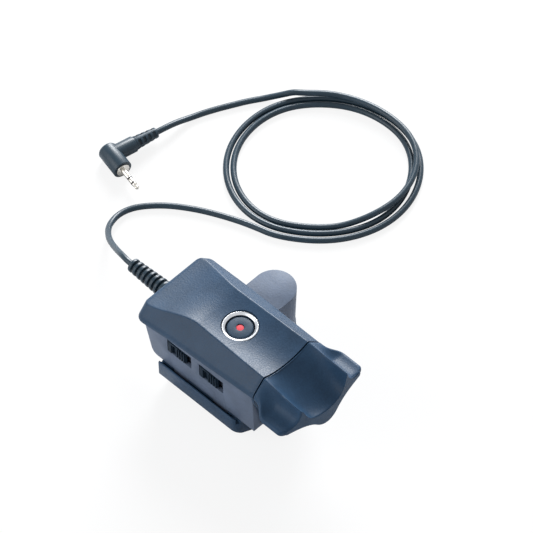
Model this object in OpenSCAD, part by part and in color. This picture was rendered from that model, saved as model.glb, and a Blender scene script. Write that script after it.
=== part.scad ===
// Zoom remote control for a camera pan bar: a moulded body with a thumb rocker, a record button and two
// slide switches, a screw clamp under it, and a thin lead with a right-angle 2.5 mm plug.
// X runs from the lead to the rocker, Y to the side of the clamp screw, Z up; the table is at Z = 0.

/* [Body] */
// Length of the body from the lead end to the rocker seam
body_len = 76; // [74:0.5:78]
// Height of the body's top edges over the table, at the seam
body_top = 52; // [51:0.25:54]
// Width between the top edges at the lead end
rear_top_w = 38; // [34:0.5:40]
// Width between the top edges at the waist
waist_w = 27.4; // [25:0.2:30]
// Width between the top edges at the rocker seam
seam_top_w = 29.6; // [28:0.2:32]
// Length of the flared lead end
flare_len = 32; // [26:1:38]
// Drop of the top edges at the lead end
rear_drop = 6.3; // [4:0.1:7]
// Hollow of the top face at the seam
dish_depth = 3; // [1.5:0.1:4]
// Width over the shoulders at the lead end
rear_brow_w = 48.4; // [46:0.2:52]
// Width over the shoulders at the seam
seam_brow_w = 44; // [43:0.2:48]
// Height of the cover's lower rim at the lead end
rear_rim_z = 34.2; // [33.5:0.1:35]
// Height of the cover's lower rim at the seam
seam_rim_z = 40.4; // [39.8:0.1:41]
// Wall of the mouldings
wall = 2; // [1.6:0.1:2.4]
// Width of the lower housing over its side panels
panel_w = 41; // [40:0.2:42.4]
// Height of the lower housing's underside over the table
housing_base_z = 14.6; // [14.4:0.1:15.2]

/* [Rocker] */
// Length of the rocker from the seam to its front
rocker_len = 27; // [24:0.5:30]
// Gap between the body and the rocker
seam_gap = 0.6; // [0.4:0.1:1]
// Height of the rocker's axis over the table
rocker_axis_z = 32; // [31.6:0.1:32.6]
// Distance of each wing tip's centre from the middle
wing_y = 24; // [21:0.5:26]
// Height of the wing tips' centres over the axis
wing_rise = 8.35; // [6:0.25:10]
// Radius of the wing tips
wing_r = 3.3; // [2.6:0.1:3.6]
// Radius of the hub's underside
hub_r = 6.5; // [5.5:0.1:6.8]
// Depth of the thumb hollow below the ridges, at the front
scoop_depth = 13.5; // [9:0.5:14]
// Diameter of the rocker's shaft
shaft_d = 5; // [4.4:0.1:5.4]

/* [Buttons and switches] */
// Distance of the record button from the seam
button_back = 30; // [27:0.5:32]
// Diameter of the record button's cap
button_d = 12.9; // [11.5:0.1:13.2]
// Outer diameter of the bright ring round the button
ring_d = 17.6; // [17:0.1:18.4]
// Travel of the record button
button_travel = 0.8; // [0.5:0.1:1]
// Diameter of the red dot on the button
dot_d = 3.8; // [3:0.1:4.5]
// Length of each switch window
window_l = 15.8; // [15:0.1:16.6]
// Height of each switch window
window_h = 8.4; // [7.8:0.1:8.8]
// Length of each switch's thumb piece
slider_l = 11; // [10:0.1:11.6]
// Travel of each slide switch
slider_travel = 2.8; // [2:0.1:3]

/* [Clamp] */
// Diameter of the pan bar that the clamp is bored for
bar_d = 20; // [18:0.25:20.5]
// Length of the clamp jaw along the bar
jaw_len = 51.8; // [48:0.2:54]
// Radius of the round-ended lug at its top
lug_r = 10.7; // [10:0.1:11.4]
// Distance of the lug's screw from the middle of the body
lug_y = 34; // [33:0.5:36]
// Height of the lug's flat top
lug_top_z = 36; // [34:0.1:36]
// Diameter of the clamp screw
screw_d = 5; // [4:0.1:5.4]
// Diameter of the knurled clamp knob
knob_d = 20; // [18:0.5:21]

/* [Lead] */
// Diameter of the lead
cord_d = 3; // [2.8:0.1:3]
// Length of the strain relief outside the body
relief_len = 28.3; // [26:0.1:28.3]
// Length of the plug's contact pin
pin_len = 14; // [11:0.1:14]

/* [Hidden] */

$fn = 48;
shell_color = [0.27, 0.31, 0.38];
panel_color = [0.42, 0.44, 0.50];
rubber_color = [0.12, 0.13, 0.15];
steel_color = [0.78, 0.79, 0.80];
brass_color = [0.80, 0.66, 0.36];
board_color = [0.10, 0.36, 0.22];
black_color = [0.08, 0.09, 0.10];
red_color = [0.90, 0.28, 0.32];

eps = 0.01;
fit = 0.02;             // a pressed pin in its hole
running = 0.05;         // a turning shaft in its bore, on the radius
seat = 0.2;             // a piece beside its seat

// ---- Lengths along the body ----
seam_x = 37;
rear_x = seam_x - body_len;
corner_r = 5;
end_soft = 3;
front_wall = 1.6;
bulkhead_x = seam_x - front_wall;
housing_front_x = bulkhead_x - seat;
housing_rear_x = rear_x + 2.6;
cavity_rear_x = rear_x + 7;
cavity_front_x = housing_front_x - wall;
rim_gap = 0.1;

// ---- Heights ----
bar_r = bar_d / 2;
bar_z = 14;
floor_z = bar_z + bar_r + 3;
pocket_z = bar_z + 6;
board_t = 1.6;
board_z = rocker_axis_z + 5.2;
board_top_z = board_z + board_t;
panel_y = panel_w / 2;
cavity_y = panel_y - wall;
pocket_y = bar_r + 2.5;

// ---- Smooth changes along the body ----
function clamp01(t) = min(1, max(0, t));
function smooth(t) = let (c = clamp01(t)) c * c * (3 - 2 * c);
function mix(a, b, t) = a + (b - a) * t;
function along(x) = clamp01((x - rear_x) / body_len);
function flare(x) = smooth((x - rear_x) / flare_len);
function edge_half(x) = mix(rear_top_w, waist_w, flare(x)) / 2
    + (seam_top_w - waist_w) / 2 * clamp01((x - rear_x - flare_len) / (body_len - flare_len));
function edge_z(x) = body_top - rear_drop * (1 - flare(x));
function dish(x) = dish_depth * along(x);
function brow_half(x) = mix(rear_brow_w, seam_brow_w, along(x)) / 2;
function rim_z(x) = mix(rear_rim_z, seam_rim_z, (x - rear_x) / body_len);
function face_z(x, y) = edge_z(x) - dish(x) * (1 - pow(y / edge_half(x), 2));

// ---- Lofts: each ring is a list of points, and rings follow each other along X ----
module loft(rings, front_hub = undef) {
    n = len(rings[0]);
    m = len(rings);
    points = concat([for (r = rings) each r], is_undef(front_hub) ? [] : [front_hub]);
    sides = [for (i = [0 : m - 2], j = [0 : n - 1]) let (k = (j + 1) % n)
        each [[i * n + j, (i + 1) * n + j, (i + 1) * n + k], [i * n + j, (i + 1) * n + k, i * n + k]]];
    back = [[for (j = [0 : n - 1]) j]];
    front = is_undef(front_hub) ? [[for (j = [n - 1 : -1 : 0]) (m - 1) * n + j]]
        : [for (j = [0 : n - 1]) [(m - 1) * n + j, m * n, (m - 1) * n + (j + 1) % n]];
    polyhedron(points, concat(sides, back, front), convexity = 8);
}

// A tube swept along a list of points; each ring stands square to the path there
function unit(v) = v / norm(v);
function path_dir(p, i) = unit(p[min(i + 1, len(p) - 1)] - p[max(i - 1, 0)]);
function side_of(t) = unit(cross(t, abs(t[2]) > 0.9 ? [1, 0, 0] : [0, 0, 1]));
module tube(p, r, sides) {
    rings = [for (i = [0 : len(p) - 1]) let (t = path_dir(p, i), a = side_of(t), b = cross(t, a))
        [for (k = [0 : sides - 1]) let (q = 360 * (k + 0.5) / sides) p[i] + r * (cos(q) * a + sin(q) * b)]];
    loft(rings);
}
function path_len(p, i = 1) = i >= len(p) ? 0 : norm(p[i] - p[i - 1]) + path_len(p, i + 1);

// A strip of a hollow cylinder round the X axis, between two angles measured from +Y
module arc_strip(r_in, r_out, a0, a1, length) {
    rotate([90, 0, 90]) rotate([0, 0, a0]) rotate_extrude(angle = a1 - a0)
        translate([r_in, -length / 2]) square([r_out - r_in, length]);
}
module x_cylinder(x0, x1, r) {
    translate([x0, 0, 0]) rotate([0, 90, 0]) cylinder(h = x1 - x0, r = r);
}
module box(x0, x1, y0, y1, z0, z1) {
    translate([x0, y0, z0]) cube([x1 - x0, y1 - y0, z1 - z0]);
}

// ---- Cover ----
TOP_STEPS = 7;
BROW_STEPS = 5;
brow_r = 5;
edge_soft = 0.45;
// Right half of the cover's section at x, drawn in by g on every side
function cover_half(x, g, gz, low) =
    let (w = edge_half(x) - g, zt = edge_z(x) - gz, yb = brow_half(x) - g, d = dish(x),
         zb = zt - (brow_half(x) - edge_half(x)) * 0.86 - 0.1, r = brow_r - min(g, wall))
    concat([for (i = [0 : TOP_STEPS - 1]) let (t = i / (TOP_STEPS - 1)) [(w - edge_soft) * t, zt - d * (1 - t * t)]],
           [[w + 0.3, zt - edge_soft]],
           [for (i = [0 : BROW_STEPS - 1]) let (a = 48 * (1 - i / (BROW_STEPS - 1)))
               [yb - r + r * cos(a), zb - 1 + r * (sin(a) - sin(24))]],
           [[yb, low]]);
function both_sides(half) = concat([for (i = [len(half) - 1 : -1 : 1]) [-half[i][0], half[i][1]]], half);
function at_x(x, pts) = [for (i = [len(pts) - 1 : -1 : 0]) [x, pts[i][0], pts[i][1]]];
// How far a lead end rounded by r is drawn in, dx behind its face
function end_inset(dx, r) = dx >= r ? 0 : r - sqrt(r * r - (r - dx) * (r - dx));
function stations(x0, x1, n) = [for (i = [0 : n]) x0 + (x1 - x0) * i / n];

module cover_outside() {
    rear = [0, 0.2, 0.6, 1.2, 2, 3];
    xs = concat([for (d = rear) rear_x + d], stations(rear_x + corner_r, seam_x, 18));
    loft([for (x = xs) at_x(x, both_sides(cover_half(x, end_inset(x - rear_x, corner_r) * 0.8,
                                                     end_inset(x - rear_x, end_soft) * 0.8, rim_z(x) - 3)))]);
}
module cover_inside() {
    xs = stations(rear_x + corner_r - 1.4, bulkhead_x - 0.4, 9);
    loft([for (x = xs) at_x(x, both_sides(cover_half(x, wall, wall, rim_z(x) - 5)))]);
}
// Everything below the cover's sloping rim
module below_rim() {
    translate([rear_x, 0, rear_rim_z]) rotate([0, -atan((seam_rim_z - rear_rim_z) / body_len), 0])
        translate([-10, -40, -30]) cube([body_len + 20, 80, 30]);
}
// The nose below the cover: it narrows downwards beside the bar
module nose_outline() {
    half = [[seam_brow_w / 2 - 0.6, seam_rim_z + 1], [20.9, 37.5], [19, 32.5], [17.6, 27], [16.6, 21.5],
            [15.9, 16.4], [0, 16.4]];
    polygon(concat(half, [for (i = [len(half) - 2 : -1 : 0]) [-half[i][0], half[i][1]]]));
}
screw_xs = [rear_x + 10, seam_x - 7];
screw_y = 15.5;
module at_screws() {
    for (x = screw_xs, y = [-screw_y, screw_y]) translate([x, y, 0]) children();
}
button_x = seam_x - button_back;
ring_seat_z = face_z(button_x, 0) - 1.4;
button_hole_r = button_d / 2 + 0.55;
button_pad_z = ring_seat_z - 1.3;
relief_base_d = 9.8;
relief_notch_r = relief_base_d / 2 - 0.75;
relief_neck = 0.9;
relief_x0 = housing_rear_x - 0.6;

module top_cover() {
    color(shell_color) difference() {
        union() {
            difference() {
                cover_outside();
                cover_inside();
                below_rim();
            }
            at_screws() translate([0, 0, board_top_z]) cylinder(h = edge_z(rear_x) - 1.2 - board_top_z, r = 2.9);
            translate([button_x, 0, button_pad_z]) cylinder(h = ring_seat_z + 0.6 - button_pad_z, r = ring_d / 2 + 1.6);
            translate([bulkhead_x, 0, 0]) rotate([90, 0, 90]) linear_extrude(front_wall - 0.02) nose_outline();
        }
        at_screws() translate([0, 0, board_top_z - 1]) cylinder(h = 6.5, r = 1.2);
        translate([button_x, 0, button_pad_z - 1]) cylinder(h = 20, r = button_hole_r);
        translate([button_x, 0, ring_seat_z]) cylinder(h = 20, r = ring_d / 2 + 0.1);
        translate([0, 0, rocker_axis_z]) x_cylinder(seam_x - 10, seam_x + 1, bush_r);
        translate([0, 0, rocker_axis_z]) x_cylinder(rear_x - 1, rear_x + 8, relief_notch_r + seat);
        translate([0, 0, rocker_axis_z]) x_cylinder(rear_x - 1, relief_x0 - relief_neck + 0.1, relief_base_d / 2 + seat);
        translate([0, 0, bar_z]) x_cylinder(seam_x - 10, seam_x + 1, bar_r + 0.6);
    }
}

// ---- Lower housing ----
lug_x = -5.4;
lug_base_z = 10.5;
lug_draft = 1.6;
pin_y = -17.5;
pin_z = 11.2;
pin_r = 1.5;
knuckle_r = 3;
knuckle_len = 9.6;
knuckle_xs = [-13, 13];
insert_r = 3.6;
insert_z = 22;
insert_h = 8;
window_z = 29.6;
window_xs = [mix(rear_x, seam_x, 0.33553), mix(rear_x, seam_x, 0.61184)];
pad_t = 1.2;
pad_len = 44;
saddle_pad_angles = [55, 125];
jaw_pad_angles = [232, 308];

module housing_side() {
    polygon([[housing_rear_x, rim_z(housing_rear_x) - rim_gap],
             [housing_rear_x + 4.1, housing_base_z + 2.6],
             [housing_rear_x + 5.4, housing_base_z + 0.8],
             [housing_rear_x + 7.4, housing_base_z],
             [housing_front_x, housing_base_z],
             [housing_front_x, rim_z(housing_front_x) - rim_gap]]);
}
module lug() {
    lug_h = lug_top_z - lug_base_z;
    difference() {
        union() {
            translate([lug_x, lug_y, lug_base_z]) cylinder(h = lug_h, r1 = lug_r - lug_draft, r2 = lug_r, $fn = 64);
            translate([lug_x, lug_y, lug_base_z]) rotate([90, 0, 0]) linear_extrude(lug_y - cavity_y - 0.5)
                polygon([[-lug_r + lug_draft, 0], [lug_r - lug_draft, 0], [lug_r, lug_h], [-lug_r, lug_h]]);
        }
        box(lug_x - lug_r - 1, lug_x + lug_r + 1, 0, panel_y + seat, 0, housing_base_z);
    }
}
module lower_housing() {
    color(panel_color) difference() {
        union() {
            difference() {
                union() {
                    translate([0, panel_y, 0]) rotate([90, 0, 0]) linear_extrude(panel_w) housing_side();
                    lug();
                }
                box(cavity_rear_x, cavity_front_x, -cavity_y, cavity_y, floor_z, body_top);
                for (s = [-1, 1])
                    box(cavity_rear_x + 1.5, cavity_front_x, min(s * pocket_y, s * cavity_y),
                        max(s * pocket_y, s * cavity_y), pocket_z, floor_z + 1);
            }
            intersection() {
                at_screws() translate([0, 0, pocket_z - 1]) cylinder(h = board_z - pocket_z + 1, r = 3.2);
                translate([0, panel_y, 0]) rotate([90, 0, 0]) linear_extrude(panel_w) housing_side();
            }
            for (x = knuckle_xs) translate([x, pin_y, pin_z]) {
                x_cylinder(-knuckle_len / 2, knuckle_len / 2, knuckle_r);
                box(-knuckle_len / 2, knuckle_len / 2, -knuckle_r, knuckle_r, 0, housing_base_z - pin_z + 1);
            }
        }
        translate([0, 0, bar_z]) x_cylinder(rear_x - 5, seam_x + 5, bar_r);
        translate([0, 0, bar_z]) arc_strip(bar_r - 1, bar_r + pad_t, saddle_pad_angles[0], saddle_pad_angles[1], pad_len);
        translate([0, pin_y, pin_z]) x_cylinder(-jaw_len, jaw_len, pin_r);
        at_screws() {
            translate([0, 0, housing_base_z - 1]) cylinder(h = board_z, r = 1.5);
            translate([0, 0, housing_base_z - 1]) cylinder(h = 3.4, r = 2.7);
        }
        translate([lug_x, lug_y, lug_base_z - 1]) cylinder(h = insert_z + insert_h - lug_base_z + 1, r = insert_r);
        for (x = window_xs)
            box(x - window_l / 2, x + window_l / 2, -panel_y - 1, -cavity_y + 1,
                window_z - window_h / 2, window_z + window_h / 2);
        translate([0, 0, rocker_axis_z]) {
            x_cylinder(cavity_front_x - 1, seam_x, bush_r + seat);
            box(cavity_front_x - 1, seam_x, -bush_r - seat, bush_r + seat, 0, 20);
            x_cylinder(rear_x, cavity_rear_x + 1, relief_notch_r + seat);
            box(rear_x, cavity_rear_x + 1, -relief_notch_r - seat, relief_notch_r + seat, 0, 20);
        }
    }
}

// ---- Record button ----
cap_top_z = face_z(button_x, 0) - 0.75;
flange_z = button_pad_z - 1.3;
flange_t = 1.1;
stem_r = 2.2;
tact_h = 3.5;
plunger_r = 1.75;
plunger_top_z = board_top_z + tact_h + 1.5;
dot_depth = 0.35;

module button_ring() {
    r_in = button_hole_r;
    r_out = ring_d / 2;
    top = face_z(button_x, 0) + 0.15;
    color(steel_color) translate([button_x, 0, 0]) rotate_extrude($fn = 64)
        polygon([[r_in, ring_seat_z], [r_out, ring_seat_z], [r_out, top - 0.3], [r_out - 0.35, top],
                 [r_in + 0.25, top - 0.65], [r_in, top - 0.9]]);
}
module record_button() {
    color(shell_color) translate([button_x, 0, 0]) difference() {
        rotate_extrude($fn = 64)
            polygon([[0, plunger_top_z + seat], [stem_r, plunger_top_z + seat], [stem_r, flange_z],
                     [button_hole_r + 0.9, flange_z], [button_hole_r + 0.9, flange_z + flange_t],
                     [button_d / 2, flange_z + flange_t], [button_d / 2, cap_top_z - 0.5],
                     [button_d / 2 - 0.35, cap_top_z - 0.2], [button_d / 4, cap_top_z], [0, cap_top_z]]);
        translate([0, 0, cap_top_z - dot_depth]) cylinder(h = 1, r = dot_d / 2);
    }
}
module button_dot() {
    color(red_color) translate([button_x, 0, cap_top_z - dot_depth])
        cylinder(h = dot_depth - 0.12, r = dot_d / 2);
}
module switch_plunger() {
    color(black_color) translate([button_x, 0, board_top_z + tact_h - 0.3])
        cylinder(h = plunger_top_z - board_top_z - tact_h + 0.3, r = plunger_r);
}
module tact_switch() {
    color(steel_color) difference() {
        box(button_x - 3, button_x + 3, -3, 3, board_top_z, board_top_z + tact_h);
        translate([button_x, 0, board_top_z + tact_h - 1.5]) cylinder(h = 3, r = plunger_r + running);
    }
}

// ---- Electronics ----
board_y = 17.3;
board_rear_x = cavity_rear_x + 0.5;
board_front_x = cavity_front_x - 0.9;
header_x = cavity_rear_x + 7.5;
switch_board_y = -13.8;
module circuit_board() {
    color(board_color) difference() {
        box(board_rear_x, board_front_x, -board_y, board_y, board_z, board_top_z);
        at_screws() translate([0, 0, board_z - 1]) cylinder(h = 4, r = 1.5);
    }
}
module processor_chip() {
    color(black_color) box(-14, -6, -4, 4, board_top_z, board_top_z + 1.1);
}
module cord_header() {
    color("ivory") box(header_x, header_x + 6, -4, 4, rocker_axis_z - 1.5, board_z);
}
module inner_wires() {
    color(black_color) translate([0, 0, rocker_axis_z]) x_cylinder(relief_x0 + 6.4, header_x, 1.2);
}
module switch_board() {
    color(board_color) box(window_xs[0] - 8.5, window_xs[1] + 8.5, switch_board_y, switch_board_y + 1.2,
                           pocket_z + seat, board_z - seat);
}
module switch_body(x) {
    y0 = -cavity_y + seat;
    color(steel_color) difference() {
        box(x - 6, x + 6, y0, switch_board_y, window_z - 3.3, window_z + 3.3);
        box(x + slider_shift - 1.8, x + slider_shift + slider_travel + 1.8, y0 - 1, y0 + 2.2,
            window_z - 1.3, window_z + 1.3);
    }
}
// The thumb piece lies 1 mm from the window's lead end at rest
slider_shift = (slider_l - window_l) / 2 + 1;
module slider(x) {
    y_face = -panel_y + 0.5;
    h = window_h - 0.8;
    color(shell_color) translate([x + slider_shift, 0, window_z]) {
        difference() {
            union() {
                box(-slider_l / 2, slider_l / 2, y_face, -cavity_y - 0.3, -h / 2, h / 2);
                box(-slider_l / 2, 0.9, y_face - 0.9, y_face, h / 2 - 1, h / 2);
                box(-slider_l / 2, -slider_l / 2 + 1.9, y_face - 0.9, y_face, -h / 2, h / 2);
                for (i = [0 : 3]) box(-0.6 + i * 1.55, 0.25 + i * 1.55, y_face - 0.9, y_face, -h / 2, h / 2 - 1);
            }
            box(-slider_l / 2 + 2.2, -1, y_face - 1, y_face + 0.7, -h / 2 + 0.4, h / 2 - 1);
        }
        box(-1.5, 1.5, -cavity_y - 0.31, -cavity_y + 2, -1, 1);
    }
}
module switch_body_rear() { switch_body(window_xs[0]); }
module switch_body_front() { switch_body(window_xs[1]); }
module switch_slider_rear() { slider(window_xs[0]); }
module switch_slider_front() { slider(window_xs[1]); }

// ---- Rocker and its shaft ----
shaft_r = shaft_d / 2;
bush_r = shaft_r + 1.5;
sensor_x = seam_x - 19.5;
sensor_t = 5;
arm_x = sensor_x + sensor_t + 0.4;
spring_r = shaft_r + 0.95;
spring_wire_r = 0.35;
spring_turns = 3.5;
spring_x = arm_x + 1.9;
spring_pitch = 1.5;
rocker_x = seam_x + seam_gap;
shaft_end_x = rocker_x + 17.4;
tip_back = 4.1;

module angle_sensor() {
    color(board_color) difference() {
        box(sensor_x, sensor_x + sensor_t, -5, 5, floor_z + seat, board_z - seat);
        translate([0, 0, rocker_axis_z]) x_cylinder(sensor_x - 1, sensor_x + sensor_t + 1, shaft_r + running);
    }
}
module shaft_bush() {
    color(brass_color) translate([0, 0, rocker_axis_z]) difference() {
        union() {
            x_cylinder(cavity_front_x - 0.2, seam_x + 0.2, bush_r - fit);
            x_cylinder(cavity_front_x - 1.4, cavity_front_x - 0.2, bush_r + 0.9);
        }
        x_cylinder(cavity_front_x - 3, seam_x + 3, shaft_r + running);
    }
}
module centring_spring() {
    steps = 14 * spring_turns;
    coil = [for (i = [0 : steps]) let (a = 360 * spring_turns * i / steps)
        [spring_x + spring_pitch * i / 14, spring_r * cos(a), rocker_axis_z + spring_r * sin(a)]];
    color(steel_color) tube(coil, spring_wire_r, 6);
}
module rocker_shaft() {
    color(steel_color) translate([0, 0, rocker_axis_z]) x_cylinder(sensor_x + 0.5, shaft_end_x, shaft_r);
}
module return_arm() {
    color(black_color) translate([0, 0, rocker_axis_z]) difference() {
        union() {
            x_cylinder(arm_x, arm_x + 1.2, shaft_r + 1.2);
            box(arm_x, arm_x + 1.2, -0.7, 0.7, shaft_r, shaft_r + 2.2);
        }
        x_cylinder(arm_x - 1, arm_x + 3, shaft_r + fit);
    }
}
// Right half of the rocker's section; u runs from 0 at the seam to 1 at the front
VALLEY_STEPS = 8;
BLEND_STEPS = 6;
TIP_STEPS = 7;
HUB_STEPS = 4;
function bezier(a, b, c, t) = (1 - t) * (1 - t) * a + 2 * t * (1 - t) * b + t * t * c;
function rocker_half(u, inset) =
    let (m = smooth(u * rocker_len / 13),
         w = mix(seam_top_w / 2, 15.2, u) - inset,
         zr = mix(body_top, body_top - 1.3, u) - inset,
         depth = mix(dish_depth, scoop_depth, sin(90 * u)) - inset * 0.4,
         r = wing_r - inset,
         tip = [mix(seam_brow_w / 2 - wing_r, wing_y, m), mix(body_top - 8.6, rocker_axis_z + wing_rise, m)],
         a_top = mix(50, 96, m),
         a_low = mix(-40, -82, m),
         tip_top = tip + r * [cos(a_top), sin(a_top)],
         tip_low = tip + r * [cos(a_low), sin(a_low)],
         hub = [0, rocker_axis_z],
         hub_side = hub + (hub_r - inset) * [cos(-24), sin(-24)],
         c_top = [mix((w + tip_top[0]) / 2, w + 1.6, m), mix((zr + tip_top[1]) / 2, tip_top[1] + 0.6, m)],
         c_low = [mix(18.5, 14, m), mix(34, 33.6, m)])
    concat([for (i = [0 : VALLEY_STEPS]) let (t = i / VALLEY_STEPS) [w * t, zr - depth * (1 - pow(t, 2.3))]],
           [for (i = [1 : BLEND_STEPS - 1]) bezier([w + 0.25, zr - 0.3], c_top, tip_top, i / BLEND_STEPS)],
           [for (i = [0 : TIP_STEPS - 1]) let (a = mix(a_top, a_low, i / (TIP_STEPS - 1)))
               tip + r * [cos(a), sin(a)]],
           [for (i = [1 : BLEND_STEPS - 1]) bezier(tip_low, c_low, hub_side, i / BLEND_STEPS)],
           [for (i = [0 : HUB_STEPS]) let (a = mix(-24, -90, i / HUB_STEPS))
               hub + (hub_r - inset) * [cos(a), sin(a)]]);
function closed_ring(half) = concat(half, [for (i = [len(half) - 2 : -1 : 1]) [-half[i][0], half[i][1]]]);
// The front face bows out in the middle
function rocker_ring(u, inset) = [for (p = closed_ring(rocker_half(u, inset)))
    [rocker_x + u * (rocker_len - seam_gap - tip_back * pow(p[0] / wing_y, 2)) - (u >= 1 ? 0.8 - inset : 0),
     p[0], p[1]]];
module zoom_rocker() {
    us = concat([0, 0.02], stations(0.06, 1, 15));
    rings = concat([for (u = us) rocker_ring(u, u == 0 ? 0.4 : 0)], [rocker_ring(1, 0.35), rocker_ring(1, 0.8)]);
    color(shell_color) difference() {
        loft([for (r = rings) [for (i = [len(r) - 1 : -1 : 0]) r[i]]],
             [rocker_x + rocker_len - seam_gap, 0, rocker_axis_z + 1]);
        translate([0, 0, rocker_axis_z]) x_cylinder(rocker_x - 1, shaft_end_x + seat, shaft_r + fit);
    }
}

// ---- Case screws ----
module case_screws() {
    head_z = housing_base_z + 2.4;
    color(steel_color) at_screws() {
        translate([0, 0, head_z - 1.6]) cylinder(h = 1.6, r = 2.4);
        translate([0, 0, head_z - eps]) cylinder(h = board_top_z + 5 - head_z, r = 1.18);
    }
}

// ---- Clamp ----
jaw_x0 = -jaw_len / 2 + 0.4;
jaw_x1 = jaw_len / 2 + 0.4;
jaw_top_z = housing_base_z - 0.3;
rail_out_y = -panel_y - 2.7;
rail_in_y = -panel_y - 1.8;
rail_top_z = housing_base_z + 0.6;
rail_low_z = 6.4;
rail_round = 4;
slit_z = 12;
foot_half = 12;
far_y = panel_y - 0.5;
arm_half = 8.5;
arm_top_z = lug_base_z - 0.4;
arm_low_z = 7.4;
barrel_r = 4;
barrel_z = 6.2;
knob_rim_z = 4;
knob_top_z = 5;
washer_t = 0.8;
travel = 8;

module jaw_side() {
    polygon([[rail_out_y, rail_low_z], [rail_out_y, rail_top_z - 0.4], [rail_out_y + 0.3, rail_top_z],
             [rail_in_y, rail_top_z], [rail_in_y, slit_z], [-panel_y - 0.2, slit_z],
             [-panel_y - 0.2, jaw_top_z - 0.4], [pin_y + 3.2, jaw_top_z - 0.4], [pin_y + 3.6, jaw_top_z],
             [far_y, jaw_top_z], [far_y, 6.5], [foot_half, 0], [-foot_half, 0]]);
}
// Plan of the jaw, with its rounded front corner
module jaw_plan() {
    difference() {
        translate([jaw_x0, rail_out_y]) square([jaw_x1 - jaw_x0, far_y - rail_out_y]);
        translate([jaw_x1 - rail_round, rail_out_y + rail_round]) difference() {
            translate([0, -rail_round - 1]) square(rail_round + 1);
            circle(r = rail_round);
        }
    }
}
module clamp_jaw() {
    color(shell_color) difference() {
        union() {
            difference() {
                intersection() {
                    translate([jaw_x0, 0, 0]) rotate([90, 0, 90]) linear_extrude(jaw_x1 - jaw_x0) jaw_side();
                    linear_extrude(20) jaw_plan();
                }
                translate([0, 0, bar_z]) x_cylinder(-jaw_len, jaw_len, bar_r);
                translate([0, 0, bar_z]) arc_strip(bar_r - 1, bar_r + pad_t, jaw_pad_angles[0], jaw_pad_angles[1], pad_len);
            }
            // The slit stops short of both ends
            box(jaw_x0, jaw_x0 + 1.2, rail_out_y + 0.4, -panel_y, rail_low_z, housing_base_z - 1.2);
            box(jaw_x1 - 5, jaw_x1 - 2.6, rail_in_y - 0.4, -panel_y, rail_low_z + 1, housing_base_z - 1.2);
            box(lug_x - arm_half, lug_x + arm_half, bar_r + 3, lug_y + 3, arm_low_z, arm_top_z);
            translate([lug_x, lug_y + 1.3, arm_low_z])
                intersection() {
                    cylinder(h = arm_top_z - arm_low_z, r = arm_half);
                    box(-arm_half, arm_half, 0, arm_half, -1, 10);
                }
            translate([0, lug_y, barrel_z + barrel_r]) intersection() {
                x_cylinder(lug_x - 6, lug_x + 6, barrel_r);
                box(lug_x - 6, lug_x + 6, -barrel_r, barrel_r, -barrel_r, arm_low_z - barrel_z - barrel_r + 1);
            }
        }
        translate([0, pin_y, pin_z]) x_cylinder(-jaw_len, jaw_len, pin_r + running);
        for (x = knuckle_xs) translate([x, pin_y, pin_z]) {
            x_cylinder(-knuckle_len / 2 - seat, knuckle_len / 2 + seat, knuckle_r + 0.4);
            box(-knuckle_len / 2 - seat, knuckle_len / 2 + seat, -knuckle_r - 0.4, knuckle_r + 0.4, 0, 8);
        }
        for (y = [lug_y, lug_y + 1.2]) translate([lug_x, y, 0]) cylinder(h = 20, r = screw_d / 2 + 0.35);
        box(lug_x - screw_d / 2 - 0.35, lug_x + screw_d / 2 + 0.35, lug_y, lug_y + 1.2, 0, 20);
    }
}
module hinge_pin() {
    color(steel_color) translate([0, pin_y, pin_z]) x_cylinder(jaw_x0 + 0.5, jaw_x1 - 0.5, pin_r - fit);
}
module saddle_pad() {
    color(rubber_color) translate([0, 0, bar_z])
        arc_strip(bar_r, bar_r + pad_t, saddle_pad_angles[0], saddle_pad_angles[1], pad_len);
}
module jaw_pad() {
    color(rubber_color) translate([0, 0, bar_z])
        arc_strip(bar_r, bar_r + pad_t, jaw_pad_angles[0], jaw_pad_angles[1], pad_len);
}
module nut_insert() {
    color(brass_color) translate([lug_x, lug_y, insert_z]) difference() {
        cylinder(h = insert_h, r = insert_r - fit);
        translate([0, 0, -1]) cylinder(h = insert_h + 2, r = screw_d / 2 + running);
    }
}
module clamp_screw() {
    color(steel_color) translate([lug_x, lug_y, 1]) cylinder(h = insert_z + insert_h - 2, r = screw_d / 2);
}
module clamp_knob() {
    color(shell_color) translate([lug_x, lug_y, 0]) difference() {
        union() {
            cylinder(h = knob_rim_z, r = knob_d / 2, $fn = 64);
            cylinder(h = knob_top_z, r = knob_d / 2 - 4.5);
        }
        for (a = [0 : 18 : 342]) rotate([0, 0, a]) translate([knob_d / 2 + 0.7, 0, -1]) cylinder(h = 8, r = 1.2);
        translate([0, 0, 1]) cylinder(h = 8, r = screw_d / 2 + fit);
        translate([0, 0, -1]) cylinder(h = 1.5, r = knob_d / 2 - 3.5);
    }
}
module thrust_washer() {
    color(steel_color) translate([lug_x, lug_y, knob_top_z + seat]) difference() {
        cylinder(h = washer_t, r = 6);
        translate([0, 0, -1]) cylinder(h = 4, r = screw_d / 2 + 0.2);
    }
}

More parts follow.
